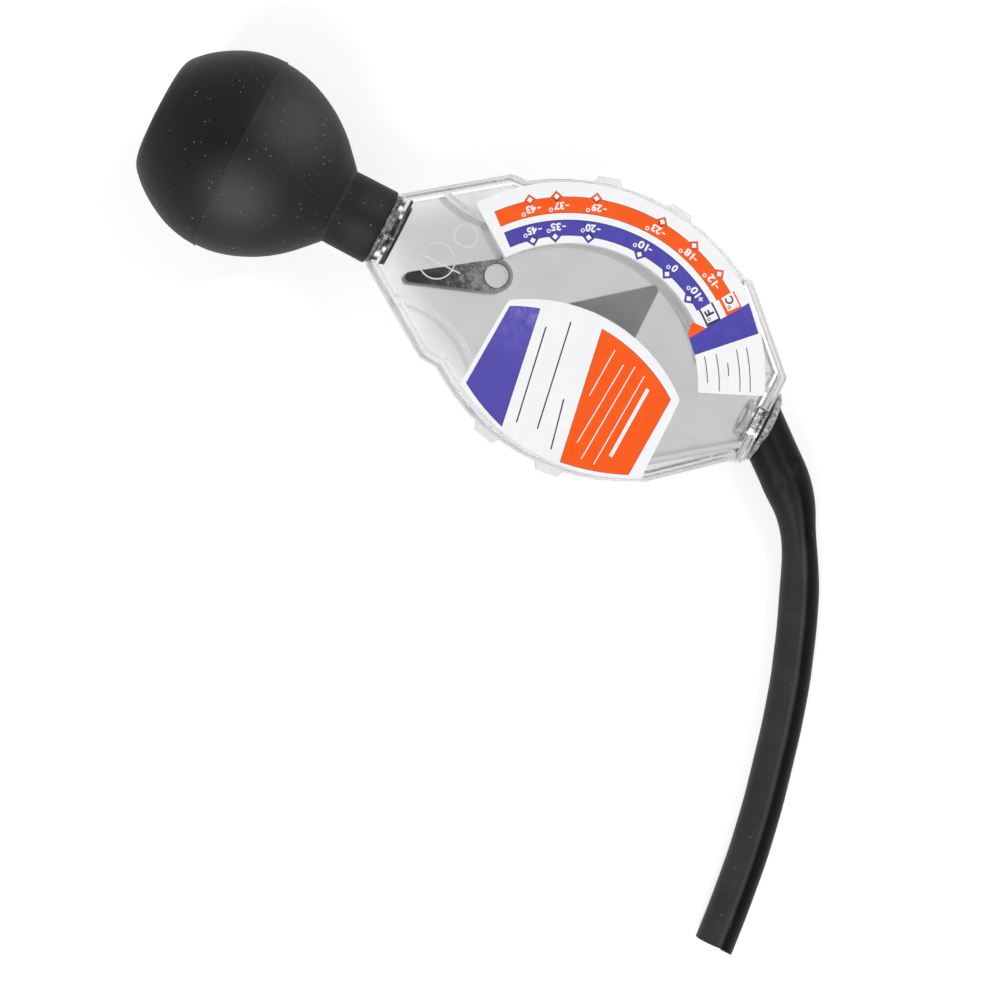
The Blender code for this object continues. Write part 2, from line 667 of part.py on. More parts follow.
def mesh_from(name, guide, finish=None):
    bpy.context.view_layer.update()
    source = guide.evaluated_get(bpy.context.evaluated_depsgraph_get())
    bm = bmesh.new()
    bm.from_mesh(source.to_mesh())
    bmesh.ops.remove_doubles(bm, verts=bm.verts, dist=MERGE_GAP)
    source.to_mesh_clear()
    return add_object(name, bm, guide.parent, finish)


def clear_of(radius):
    # How wide a tube's corners lie where its flats clear a round of this radius.
    return (radius + SEAT_GAP) / math.cos(math.pi / (2 * HOSE_SIDES + 4))


def nipple_axis():
    bend = Vector((BODY_LENGTH + NIPPLE_START, NIPPLE_HEIGHT, 0.0))
    turn = math.radians(NIPPLE_ANGLE)
    return bend, Vector((math.cos(turn), math.sin(turn), 0.0))


def hose_nipple(parent):
    # A stub through the wall with a collar inside, then a spigot at an angle in the dial's plane.
    bend, along = nipple_axis()
    inner_end = BODY_LENGTH - HOSE_WALL - SEAT_GAP
    start = Vector((inner_end - COLLAR_LENGTH, NIPPLE_HEIGHT, 0.0))
    tip = bend + along * NIPPLE_LENGTH
    path = (start, bend, tip)
    guide = tube_curve("nipple_guide", path, [NIPPLE_RADIUS] * len(path), parent)
    made = mesh_from("hose_nipple", guide, "clear_plastic")
    ring = [(start.x, 0.0), (start.x, COLLAR_RADIUS), (inner_end, COLLAR_RADIUS), (inner_end, 0.0)]
    collar = turned(ring, TUBE_STEPS)
    bmesh.ops.translate(collar, verts=collar.verts, vec=(0, NIPPLE_HEIGHT, 0))
    combine(made, add_object("nipple_collar", collar, parent), "UNION")
    past = Vector((OVERRUN, 0.0, 0.0))
    bore_path = (start - past, bend, tip + along * OVERRUN)
    bore_guide = tube_curve("nipple_bore_guide", bore_path, [NIPPLE_BORE] * len(bore_path), parent)
    combine(made, mesh_from("nipple_bore", bore_guide), "DIFFERENCE")
    return made


def smooth_route(points, step):
    # A Catmull-Rom curve through the route's points, read at an even step.
    places = [Vector(p) for p in points]
    ends = [places[0] * 2 - places[1]] + places + [places[-1] * 2 - places[-2]]
    fine = []
    for a, b, c, d in zip(ends, ends[1:], ends[2:], ends[3:]):
        leave = b + (c - a) * HANDLE_SHARE
        arrive = c - (d - b) * HANDLE_SHARE
        fine += interpolate_bezier(b, leave, arrive, c, ROUTE_PARTS + 1)[:-1]
    fine.append(places[-1])
    lengths = [0.0]
    for a, b in zip(fine, fine[1:]):
        lengths.append(lengths[-1] + (b - a).length)
    count = max(2, round(lengths[-1] / step))
    out = []
    at = 0
    for i in range(count + 1):
        wanted = lengths[-1] * i / count
        while at < len(fine) - 2 and lengths[at + 1] < wanted:
            at += 1
        share = (wanted - lengths[at]) / (lengths[at + 1] - lengths[at])
        out.append((wanted, fine[at].lerp(fine[at + 1], share)))
    return out


def blend_shares(marks, at):
    # Eases between (distance, value) marks along the hose.
    for (s0, v0), (s1, v1) in zip(marks, marks[1:]):
        if at <= s1:
            t = max(0.0, (at - s0) / (s1 - s0))
            return v0 + (v1 - v0) * t * t * (3 - 2 * t)
    return marks[-1][1]


def hose(parent):
    # The hose is pushed over the spigot, where it is stretched, and lies down to its open end.
    step = HOSE_STEP_SHARE * 2 * HOSE_RADIUS
    rows = smooth_route(HOSE_ROUTE, step)
    start = rows[0][1] - (rows[1][1] - rows[0][1]).normalized() * 2 * step
    length = rows[-1][0]
    loose = HOSE_RADIUS
    stretched = STRETCHED_SHARE * loose
    outer = (
        (0.0, stretched), (STRETCH_END - OVERRUN, stretched), (NECKED_AT, NECKED_SHARE * loose),
        (RELAXED_AT, loose), (length, loose),
    )
    snug = clear_of(NIPPLE_RADIUS)
    bore = ((0.0, snug), (STRETCH_END, snug), (STRETCH_END + OVERRUN, HOSE_BORE), (length, HOSE_BORE))
    places = [start] + [place for _, place in rows]
    stations = [0.0] + [station for station, _ in rows]
    tube = tube_curve("hose_guide", places, [blend_shares(outer, s) for s in stations])
    made = mesh_from("suction_hose", tube, "hose_rubber")
    past = places[-1] + (places[-1] - places[-2]).normalized() * OVERRUN
    bores = [blend_shares(bore, s) for s in stations] + [HOSE_BORE]
    inside = tube_curve("hose_bore_guide", places + [past], bores)
    combine(made, mesh_from("hose_bore", inside), "DIFFERENCE")
    reach = BODY_LENGTH / 2
    near = BODY_LENGTH + SEAT_GAP
    ends = [(near - reach, -reach), (near, -reach), (near, reach), (near - reach, reach)]
    block = prism(ends, -reach, reach)
    combine(made, add_object("hose_end_plane", block, parent), "DIFFERENCE")
    return made


# Glue

def lump(angle):
    first, second = BEAD_WAVES
    return BEAD_LUMP * (math.sin(first * angle) + math.sin(second * angle + BEAD_PHASE)) / 2


def bulb_bead(parent):
    # A lumpy ring of glue round the bulb's stub, in the counterbore of the end wall.
    hole = STUB_RADIUS + SEAT_GAP
    far = GLUE_SEAT_DEPTH - SEAT_GAP
    bm = bmesh.new()
    rings = []
    for i in range(BEAD_STEPS):
        angle = math.tau * i / BEAD_STEPS
        crest = GLUE_SEAT_RADIUS - SEAT_GAP - BEAD_LUMP + lump(angle)
        shoulder = (crest + hole) / 2
        profile = ((0.0, hole), (0.0, shoulder), (far / 2, crest), (far, shoulder), (far, hole))
        turn = (math.cos(angle), math.sin(angle))
        rings.append([bm.verts.new((x, r * turn[0], r * turn[1])) for x, r in profile])
    for ring, following in zip(rings, rings[1:] + rings[:1]):
        for k in range(len(ring)):
            j = (k + 1) % len(ring)
            bm.faces.new((ring[k], ring[j], following[j], following[k]))
    return add_object("bulb_glue_bead", bm, parent, "glue")


def hose_bead(parent):
    # A lumpy collar of glue where the hose meets the end face, cut round the hose.
    stretch = STRETCHED_SHARE * HOSE_RADIUS
    tall = stretch / math.cos(math.radians(NIPPLE_ANGLE)) + HOSE_BEAD_REACH
    deep = stretch + HOSE_BEAD_REACH
    near = BODY_LENGTH + SEAT_GAP
    rings = []
    for share, out in HOSE_BEAD_SHARES:
        ring = []
        for i in range(BEAD_STEPS):
            angle = math.tau * i / BEAD_STEPS
            grow = share * (1 + lump(angle) / deep)
            across = NIPPLE_HEIGHT + tall * grow * math.cos(angle)
            ring.append((near + HOSE_BEAD_LENGTH * out, across, deep * grow * math.sin(angle)))
        rings.append(ring)
    bm = bmesh.new()
    made = [[bm.verts.new(p) for p in ring] for ring in rings]
    for lower, upper in zip(made, made[1:]):
        for i in range(BEAD_STEPS):
            j = (i + 1) % BEAD_STEPS
            bm.faces.new((lower[i], lower[j], upper[j], upper[i]))
    bm.faces.new(made[0][::-1])
    bm.faces.new(made[-1])
    bead = add_object("hose_glue_bead", bm, parent, "glue")
    bend, along = nipple_axis()
    path = (bend - along * NIPPLE_LENGTH, bend + along * NIPPLE_LENGTH)
    guide = tube_curve("hose_room_guide", path, [clear_of(stretch)] * len(path), parent)
    combine(bead, mesh_from("hose_room", guide), "DIFFERENCE")
    return bead


# Labels

def scale_label_outline():
    places = [scale_place(share) for share in SCALE_LABEL_SHARES]
    outer = arc_through(*places[0:3], OUTLINE_ARC_STEPS // 2)
    outer += arc_through(*places[2:5], OUTLINE_ARC_STEPS // 2)[1:]
    low = CHAMBER_RADIUS - SCALE_LABEL_WIDENS
    step_end = SCALE_LABEL_STEP - SCALE_LABEL_STEP_SPAN
    inner = arc_points(PIVOT, low, SCALE_LABEL_END, step_end, OUTLINE_ARC_STEPS // 3)
    inner += arc_points(PIVOT, CHAMBER_RADIUS, SCALE_LABEL_STEP, SCALE_LABEL_START, OUTLINE_ARC_STEPS)
    return rounded((outer + inner)[::-1], LABEL_CORNER)


def centre_label_outline():
    top = [scale_place(share) for share in CENTRE_LABEL_TOP_SHARES]
    base = [(x * BODY_LENGTH, y * REST_REACH) for x, y in CENTRE_LABEL_BASE_SHARES]
    edge = arc_through(*top, OUTLINE_ARC_STEPS) + arc_through(*base, OUTLINE_ARC_STEPS)
    return rounded(edge[::-1], LABEL_CORNER)


def label(name, outline, parent):
    points = inset(outline, [LABEL_MARGIN] * len(outline))
    low = HALF_DEPTH + PAD_RISE + SEAT_GAP
    return add_object(name, prism(points, low, low + LABEL_THICKNESS), parent, "printed_label")


# Assembly

def resting_tilt():
    # The tilt at which a plane touches the bulb and the far lower edge of the housing.
    reach = BODY_LENGTH - BULB_CENTRE
    return math.asin(BULB_RADIUS / math.hypot(reach, HALF_DEPTH)) - math.atan2(HALF_DEPTH, reach)


def stand_on_origin(stand, pieces):
    # Moves the stand so that the pieces' box is centred over the origin and touches the table.
    bpy.context.view_layer.update()
    graph = bpy.context.evaluated_depsgraph_get()
    corners = []
    for piece in pieces:
        evaluated = piece.evaluated_get(graph)
        corners += [evaluated.matrix_world @ v.co for v in evaluated.data.vertices]
    low = [min(c[i] for c in corners) for i in range(3)]
    high = [max(c[i] for c in corners) for i in range(3)]
    stand.location = (-(low[0] + high[0]) / 2, -(low[1] + high[1]) / 2, -low[2])
    bpy.context.view_layer.update()


def empty(name, parent=None):
    made = bpy.data.objects.new(name, None)
    bpy.context.scene.collection.objects.link(made)
    made.parent = parent
    return made


def build():
    clear_scene()
    stand = empty("stand")
    stand.rotation_euler = (0.0, resting_tilt(), 0.0)
    front = shell("front_shell", 1, stand)
    combine(front, label_pad(stand), "UNION")
    back = shell("back_shell", -1, stand)
    hinge = empty("pointer_hinge", stand)
    hinge.location = (*PIVOT, 0.0)
    pieces = [front, back, *pointer(hinge), pivot_pin(stand), baffle(stand)]
    pieces += [bulb(stand), bulb_bead(stand), hose_nipple(stand), hose_bead(stand)]
    pieces.append(label("scale_label", scale_label_outline(), stand))
    pieces.append(label("centre_label", centre_label_outline(), stand))
    stand_on_origin(stand, pieces)
    hose(stand)


build()
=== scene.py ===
import json
import math

import bmesh
import bpy
from mathutils import Matrix, Vector, noise


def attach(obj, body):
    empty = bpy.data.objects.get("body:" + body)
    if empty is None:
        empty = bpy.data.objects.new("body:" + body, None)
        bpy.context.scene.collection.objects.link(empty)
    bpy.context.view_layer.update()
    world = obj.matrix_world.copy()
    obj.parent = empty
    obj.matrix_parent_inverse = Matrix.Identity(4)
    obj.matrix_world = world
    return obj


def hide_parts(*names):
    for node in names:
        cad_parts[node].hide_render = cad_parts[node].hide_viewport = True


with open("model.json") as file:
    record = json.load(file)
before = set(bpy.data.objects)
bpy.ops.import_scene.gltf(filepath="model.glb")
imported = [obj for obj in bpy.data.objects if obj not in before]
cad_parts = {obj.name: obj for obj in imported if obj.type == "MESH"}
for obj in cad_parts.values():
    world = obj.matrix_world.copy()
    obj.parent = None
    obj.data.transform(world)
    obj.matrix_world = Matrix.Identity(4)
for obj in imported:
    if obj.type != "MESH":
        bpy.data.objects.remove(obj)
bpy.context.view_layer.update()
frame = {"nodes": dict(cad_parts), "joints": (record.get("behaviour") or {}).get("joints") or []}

# A clear tester on a white table: dial up, rubber bulb at one end, rubber hose at the other.
# Pieces are drawn in the housing's own frame, in millimetres, and then moved into the table's.
mm = 0.001

swing = frame["joints"][0]
pivot = Vector((59.002, -13.898, 0.0))  # the pointer's pivot on the dial
tilt = math.atan2(swing["axis"][0], swing["axis"][2])
onTable = Matrix.Translation(Vector(swing["pos_m"])) @ Matrix.Rotation(tilt, 4, "Y")
housing = onTable @ Matrix.Scale(mm, 4) @ Matrix.Translation(-pivot)
print("frame read, housing tilted by", round(math.degrees(tilt), 2), "degrees")


# Camera, straight above the dial, turned so that the tester lies across the picture

cameraLook = {"lens": 85.6, "sensor": 36.0, "height": 620.0, "place": (28.5, -49.1), "turn": 27.3}


def addCamera(look):
    data = bpy.data.cameras.new("camera")
    data.lens = look["lens"]
    data.sensor_width = look["sensor"]
    data.clip_start = 10 * mm
    camera = bpy.data.objects.new("camera", data)
    bpy.context.scene.collection.objects.link(camera)
    camera.location = Vector((*look["place"], look["height"])) * mm
    camera.rotation_euler = (0, 0, math.radians(look["turn"]))
    bpy.context.scene.camera = camera


addCamera(cameraLook)
bpy.context.scene.view_settings.view_transform = "Standard"


# Small tools for meshes

def freshObject(name, mesh):
    thing = bpy.data.objects.new(name, mesh)
    bpy.context.scene.collection.objects.link(thing)
    return thing


def meshOf(name, bm, where=None):
    bmesh.ops.recalc_face_normals(bm, faces=bm.faces)
    mesh = bpy.data.meshes.new(name)
    bm.to_mesh(mesh)
    bm.free()
    if where:
        mesh.transform(where)
    return mesh


def settle(name, mesh, materials, body="housing", instead=None, sharp=35):
    # Links a finished mesh, gives it its materials and says which body carries it.
    piece = freshObject(name, mesh)
    if mesh.materials:  # without this, clear() would reset which ink each face has
        mesh.materials.clear()
    for material in materials:
        mesh.materials.append(material)
    if sharp:
        mesh.shade_smooth()
        mesh.set_sharp_from_angle(angle=math.radians(sharp))
    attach(piece, body)
    if instead:
        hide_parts(instead)
    return piece


def polar(radius, degrees, centre=(0.0, 0.0)):
    angle = math.radians(degrees)
    return (centre[0] + radius * math.cos(angle), centre[1] + radius * math.sin(angle))


def spread(first, last, steps):
    return [first + (last - first) * i / steps for i in range(steps + 1)]


def arc(radius, start, end, steps, centre=(0.0, 0.0)):
    return [polar(radius, degrees, centre) for degrees in spread(start, end, steps)]


def bridge(bm, near, far, ink=0):
    # Faces between two closed rings of corners.
    for i in range(len(near)):
        j = (i + 1) % len(near)
        bm.faces.new((near[i], near[j], far[j], far[i])).material_index = ink


def slab(bm, outline, low, high, ink=0):
    # A flat sheet of the outline's shape between two heights.
    bottom, top = [[bm.verts.new((x, y, z)) for x, y in outline] for z in (low, high)]
    for face in (bottom[::-1], top):
        bm.faces.new(face).material_index = ink
    bridge(bm, bottom, top, ink)


def lathe(bm, profile, steps):
    # Turns (place, radius) pairs round the housing's long axis; ends at radius 0 become poles.
    rings = []
    for x, r in profile:
        if r == 0:
            rings.append([bm.verts.new((x, 0, 0))])
            continue
        turns = [math.tau * i / steps for i in range(steps)]
        rings.append([bm.verts.new((x, r * math.cos(a), r * math.sin(a))) for a in turns])
    for near, far in zip(rings, rings[1:]):
        for i in range(steps):
            j = (i + 1) % steps
            corners = [near[i % len(near)], near[j % len(near)], far[j % len(far)], far[i % len(far)]]
            corners = [c for k, c in enumerate(corners) if c not in corners[:k]]
            bm.faces.new(corners)


def smoothRun(points, each):
    # A Catmull-Rom curve through points of any dimension, with so many parts between two of them.
    places = [Vector(p) for p in points]
    ends = [places[0] * 2 - places[1]] + places + [places[-1] * 2 - places[-2]]
    run = []
    for a, b, c, d in zip(ends, ends[1:], ends[2:], ends[3:]):
        for k in range(each):
            t = k / each
            curve = (a * 2 - b * 5 + c * 4 - d) * t ** 2 + (b * 3 - a - c * 3 + d) * t ** 3
            run.append((b * 2 + (c - a) * t + curve) / 2)
    run.append(places[-1])
    return run


def between(marks, at):
    # Eases from one (place, value) mark to the next.
    for (s0, v0), (s1, v1) in zip(marks, marks[1:]):
        if at <= s1:
            t = max(0.0, (at - s0) / (s1 - s0))
            return v0 + (v1 - v0) * t * t * (3 - 2 * t)
    return marks[-1][1]


def applied(thing):
    # A thing's final mesh; the thing itself goes.
    made = bpy.data.meshes.new_from_object(thing.evaluated_get(bpy.context.evaluated_depsgraph_get()))
    bpy.data.objects.remove(thing)
    return made


rounding = {"merge": 0.002, "flatWithin": 0.8, "edgesFrom": 25}  # millimetres, degrees, degrees


def fromNode(node, name, body, slot, material, radius, segments):
    # A CAD piece's mesh, merged, with its edges rounded as a mould leaves them.
    bm = bmesh.new()
    bm.from_mesh(frame["nodes"][node].data)
    bmesh.ops.remove_doubles(bm, verts=bm.verts, dist=rounding["merge"] * mm)
    flat = math.radians(rounding["flatWithin"])
    bmesh.ops.dissolve_limit(bm, angle_limit=flat, verts=bm.verts, edges=bm.edges)
    mesh = bpy.data.meshes.new(name)
    bm.to_mesh(mesh)
    bm.free()
    rough = freshObject(name + "Rough", mesh)
    bevel = rough.modifiers.new("round", "BEVEL")
    bevel.width = radius * mm
    bevel.segments = segments
    bevel.limit_method = "ANGLE"
    bevel.angle_limit = math.radians(rounding["edgesFrom"])
    weigh = rough.modifiers.new("flat", "WEIGHTED_NORMAL")
    weigh.keep_sharp = True
    rough.data.shade_smooth()
    settle(name, applied(rough), [material], body, node, sharp=None)


# Shader tools

def addNode(tree, kind, inputs=None, **settings):
    node = tree.nodes.new(kind)
    for name, value in settings.items():
        setattr(node, name, value)
    for name, value in (inputs or {}).items():
        node.inputs[name].default_value = value
    return node


def maths(tree, operation, amount=None):
    return addNode(tree, "ShaderNodeMath", {} if amount is None else {1: amount}, operation=operation)


def mapRange(tree, low, high, toLow=0.0, toHigh=1.0, ease="LINEAR"):
    values = {"From Min": low, "From Max": high, "To Min": toLow, "To Max": toHigh}
    return addNode(tree, "ShaderNodeMapRange", values, interpolation_type=ease)


def objectPlace(tree):
    return tree.nodes.new("ShaderNodeTexCoord").outputs["Object"]


def join(tree, *pairs):
    # Links outputs to inputs; a node stands for its first one.
    for out, into in pairs:
        tree.links.new(getattr(out, "outputs", [out])[0], getattr(into, "inputs", [into])[0])


def newMaterial(name, **values):
    # A Principled material; constants go straight onto its sockets.
    material = bpy.data.materials.new(name)
    material.use_nodes = True
    shader = material.node_tree.nodes["Principled BSDF"]
    for socket, value in values.items():
        shader.inputs[socket.replace("_", " ")].default_value = value
    return material, material.node_tree, shader


def roughen(tree, shader, source, low, high):
    rough = mapRange(tree, 0, 1, low, high)
    join(tree, (source, rough), (rough, shader.inputs["Roughness"]))


def ramp(tree, source, *marks):
    # A colour ramp with (place, colour) marks.
    node = tree.nodes.new("ShaderNodeValToRGB")
    stops = node.color_ramp.elements
    while len(stops) < len(marks):
        stops.new(0.5)
    for stop, (at, colour) in zip(stops, marks):
        stop.position = at
        stop.color = (*colour, 1) if hasattr(colour, "__len__") else (colour, colour, colour, 1)
    join(tree, (source, node))
    return node


def paint(tree, shader, source, *marks):
    join(tree, (ramp(tree, source, *marks), shader.inputs["Base Color"]))


def bump(tree, shader, height, depth, strength):
    node = addNode(tree, "ShaderNodeBump", {"Strength": strength, "Distance": depth * mm})
    join(tree, (height, node.inputs["Height"]), (node, shader.inputs["Normal"]))


def newGroup(name, ins, outs):
    # A group that takes a place and some numbers, and gives numbers.
    group = bpy.data.node_groups.new(name, "ShaderNodeTree")
    group.interface.new_socket("Place", in_out="INPUT", socket_type="NodeSocketVector")
    for side, sockets in (("INPUT", ins), ("OUTPUT", outs)):
        for socket in sockets:
            group.interface.new_socket(socket, in_out=side, socket_type="NodeSocketFloat")
    return group, group.nodes.new("NodeGroupInput").outputs, group.nodes.new("NodeGroupOutput").inputs


def place(tree, group, **values):
    node = tree.nodes.new("ShaderNodeGroup")
    node.node_tree = group
    for socket, value in values.items():
        node.inputs[socket].default_value = value
    join(tree, (objectPlace(tree), node.inputs["Place"]))
    return node


def lengthwise(tree, start, end=None):
    # 0 at one place of the housing and 1 at another on the line between them, or a millimetre further along.
    first = housing @ Vector(start)
    run = housing @ (Vector(end) if end else Vector(start) + Vector((1, 0, 0))) - first
    back = addNode(tree, "ShaderNodeVectorMath", {1: first}, operation="SUBTRACT")
    dot = addNode(tree, "ShaderNodeVectorMath", {1: run / run.length_squared}, operation="DOT_PRODUCT")
    join(tree, (objectPlace(tree), back), (back, dot))
    return dot.outputs["Value"]


def spot(tree, centre, near, far):
    # 1 close to a place of the housing, easing to 0 at a distance in millimetres.
    apart = addNode(tree, "ShaderNodeVectorMath", {1: housing @ Vector(centre)}, operation="DISTANCE")
    ease = mapRange(tree, far * mm, near * mm, ease="SMOOTHSTEP")
    join(tree, (objectPlace(tree), apart), (apart.outputs["Value"], ease))
    return ease


def stripe(tree, start, width):
    # 1 on the plane across the housing at a place, 0 beyond a width in millimetres.
    away = maths(tree, "ABSOLUTE")
    ease = mapRange(tree, width, 0.0)
    join(tree, (lengthwise(tree, start), away), (away, ease))
    return ease


def sums(tree, *parts):
    # Adds up (socket, share) pairs.
    total = None
    for socket, share in parts:
        step = addNode(tree, "ShaderNodeMath", {1: share, 2: 0.0}, operation="MULTIPLY_ADD")
        join(tree, (socket, step))
        if total:
            join(tree, (total, step.inputs[2]))
        total = step
    return total


# Shared effects

def dusted(tree, shader, specks, tone, pale):
    # The base colour: a tone with pale specks on it. A Mix node's colours are its sockets 6 and 7.
    mix = addNode(tree, "ShaderNodeMix", {7: pale}, data_type="RGBA")
    join(tree, (specks, mix), (tone, mix.inputs[6]),
         (mix.outputs[2], shader.inputs["Base Color"]))


def buildDust():
    # Pale specks, each with its own brightness, thicker in some areas than in others.
    group, into, out = newGroup("dust", ("Scale", "Amount"), ("Specks",))
    cells = addNode(group, "ShaderNodeTexVoronoi", {"Randomness": 1.0}, feature="F1")
    patches = addNode(group, "ShaderNodeTexNoise", {"Scale": 70.0, "Detail": 3.0})
    size = maths(group, "MULTIPLY")
    near = maths(group, "LESS_THAN")
    rare = maths(group, "GREATER_THAN", 0.68)
    both = maths(group, "MULTIPLY")
    bright = maths(group, "POWER", 4.0)
    shine = maths(group, "MULTIPLY")
    separate = addNode(group, "ShaderNodeSeparateColor")
    join(group,
         (into["Place"], cells.inputs["Vector"]), (into["Place"], patches.inputs["Vector"]),
         (into["Scale"], cells.inputs["Scale"]),
         (patches, size), (into["Amount"], size.inputs[1]),
         (cells.outputs["Distance"], near), (size, near.inputs[1]),
         (cells.outputs["Color"], separate), (separate, rare),
         (near, both), (rare, both.inputs[1]),
         (separate.outputs[1], bright), (both, shine),
         (bright, shine.inputs[1]), (shine, out["Specks"]))
    return group


def buildGrain():
    # Soft clouds with a fine tooth on them. A Mix node's numbers are its sockets 2 and 3.
    group, into, out = newGroup("grain", ("Clouds", "Tooth", "Share"), ("Value", "Height"))
    clouds = addNode(group, "ShaderNodeTexNoise", {"Detail": 4.0, "Roughness": 0.55})
    tooth = addNode(group, "ShaderNodeTexNoise", {"Detail": 2.0, "Roughness": 0.6})
    mix = addNode(group, "ShaderNodeMix")
    join(group,
         (into["Place"], clouds.inputs["Vector"]), (into["Place"], tooth.inputs["Vector"]),
         (into["Clouds"], clouds.inputs["Scale"]), (into["Tooth"], tooth.inputs["Scale"]),
         (into["Share"], mix), (clouds, mix.inputs[2]),
         (tooth, mix.inputs[3]), (mix, out["Value"]),
         (tooth, out["Height"]))
    return group


def buildScuffs():
    # Fine scratches that run mostly one way, broken up by patches.
    group, into, out = newGroup("scuffs", ("Scale", "Turn"), ("Mask",))
    turn = addNode(group, "ShaderNodeVectorRotate", rotation_type="Z_AXIS")
    squeeze = addNode(group, "ShaderNodeVectorMath", {1: (0.04, 1.0, 1.0)}, operation="MULTIPLY")
    lines = addNode(group, "ShaderNodeTexNoise", {"Detail": 2.0, "Roughness": 0.5})
    patches = addNode(group, "ShaderNodeTexNoise", {"Scale": 45.0, "Detail": 3.0})
    thin = mapRange(group, 0.62, 0.72)
    where = mapRange(group, 0.45, 0.65)
    both = maths(group, "MULTIPLY")
    join(group,
         (into["Place"], turn.inputs["Vector"]), (into["Turn"], turn.inputs["Angle"]),
         (turn, squeeze), (squeeze, lines.inputs["Vector"]),
         (into["Scale"], lines.inputs["Scale"]), (into["Place"], patches.inputs["Vector"]),
         (lines, thin), (patches, where),
         (thin, both), (where, both.inputs[1]),
         (both, out["Mask"]))
    return group


dust = buildDust()
grain = buildGrain()
scuffs = buildScuffs()


# Finishes

def clearPlastic():
    # Slightly grey styrene: glossy, with mould waviness and handling scuffs.
    material, tree, shader = newMaterial("clearPlastic", Transmission_Weight=1.0, IOR=1.49)
    cloud = place(tree, grain, Clouds=90.0, Tooth=900.0, Share=0.25)
    marks = place(tree, scuffs, Scale=420.0, Turn=0.5)
    paint(tree, shader, cloud, (0.33, 0.870), (0.67, 0.925))
    roughen(tree, shader, marks, low=0.13, high=0.42)
    bump(tree, shader, cloud, depth=0.02, strength=0.3)
    return material


# The bulb's tone: random clouds in the rubber, and painted light: the half by the neck painted lighter,
# painted highlight lines along the seam and the crease, and painted highlight patches.
bulbToneAndPaintedLight = {
    "clouds": 0.30, "seam": (-39.8, 0.0, 0.0), "paintedLitHalf": 0.10,
    "lines": (((-39.8, 0.0, 0.0), 0.28, 0.26), ((-12.4, 0.0, 0.0), 0.30, 0.30)),  # place, width, share
    "patches": (
        ((-29.8, 12.0, 20.2), 2, 16, 0.40), ((-34.0, -12.5, 21.5), 2, 15, 0.46),
        ((-4.5, 4.5, 8.5), 1, 6, 0.12), ((-5.0, -5.0, 8.5), 1, 6, 0.18),
        ((-30.0, 14.0, -19.0), 2, 16, 0.40), ((-47.0, -13.0, -18.0), 2, 14, 0.30),
    ),  # place, full within, none beyond, share
}


def bulbRubber(look):
    # Black rubber with random cloudy tone and pale dust specks, and painted light: painted highlight patches,
    # painted highlight lines along the seam and the crease, and the half by the neck painted lighter.
    gloss = {"Specular_IOR_Level": 0.14, "Sheen_Weight": 0.08, "Sheen_Roughness": 0.4}
    material, tree, shader = newMaterial("bulbRubber", **gloss)
    cloud = place(tree, grain, Clouds=42.0, Tooth=2600.0, Share=0.22)
    specks = place(tree, dust, Scale=1250.0, Amount=0.32)
    # Painted light: the half by the neck is painted lighter.
    half = mapRange(tree, 0.0, 0.4)
    join(tree, (lengthwise(tree, look["seam"]), half))
    parts = [(cloud, look["clouds"]), (half, look["paintedLitHalf"])]
    # Painted highlight lines along the seam and the crease, and painted highlight patches.
    parts += [(stripe(tree, start, width), share) for start, width, share in look["lines"]]
    parts += [(spot(tree, centre, near, far), share) for centre, near, far, share in look["patches"]]
    tone = ramp(tree, sums(tree, *parts), (0.08, 0.005), (0.25, 0.015), (0.55, 0.038), (1.0, 0.100))
    dusted(tree, shader, specks, tone, (0.42, 0.42, 0.41, 1))
    roughen(tree, shader, cloud, low=0.5, high=0.68)
    bump(tree, shader, cloud.outputs["Height"], depth=0.03, strength=0.35)
    return material


def hoseRubber():
    material, tree, shader = newMaterial("hoseRubber", Specular_IOR_Level=0.09)
    cloud = place(tree, grain, Clouds=110.0, Tooth=2200.0, Share=0.3)
    specks = place(tree, dust, Scale=800.0, Amount=0.24)
    # Painted light: the lit side of the hose is painted paler, with a painted highlight line along its edge;
    # the clouds are the rubber's own random tone.
    paintedLitSide = addNode(tree, "ShaderNodeAttribute", attribute_name="paintedLitSide")
    total = sums(tree, (cloud, 0.35), (paintedLitSide.outputs["Fac"], 0.62))
    tone = ramp(tree, total, (0.12, 0.0015), (0.25, 0.004), (0.56, 0.034), (0.90, 0.085))
    dusted(tree, shader, specks, tone, (0.30, 0.30, 0.30, 1))
    roughen(tree, shader, cloud, low=0.36, high=0.5)
    bump(tree, shader, cloud.outputs["Height"], depth=0.02, strength=0.3)
    return material


def greyPlastic():
    material, tree, shader = newMaterial("vaneGrey", Roughness=0.5)
    cloud = place(tree, grain, Clouds=150.0, Tooth=2200.0, Share=0.7)
    paint(tree, shader, cloud, (0.3, 0.46), (0.7, 0.57))
    bump(tree, shader, cloud.outputs["Height"], depth=0.02, strength=0.3)
    return material


def metal(name, dark, pale, rough):
    material, tree, shader = newMaterial(name, Metallic=1.0, Roughness=rough)
    cloud = place(tree, grain, Clouds=300.0, Tooth=4000.0, Share=0.5)
    paint(tree, shader, cloud, (0.3, dark), (0.7, pale))
    return material


def baffleGrain():
    # Dark at the nose, and paling into a coarse mottled grey round the boss.
    material, tree, shader = newMaterial("baffleGrain", Roughness=0.5)
    cloud = place(tree, grain, Clouds=520.0, Tooth=1700.0, Share=0.5)
    nose, boss = (11.5, -8.0, 0.0), (34.0, 3.6, 0.0)
    total = sums(tree, (lengthwise(tree, nose, boss), 0.45), (cloud, 1.0))
    paint(tree, shader, total, (0.42, 0.004), (0.56, 0.016), (0.72, 0.125), (0.86, 0.47))
    bump(tree, shader, cloud.outputs["Height"], depth=0.04, strength=0.5)
    return material


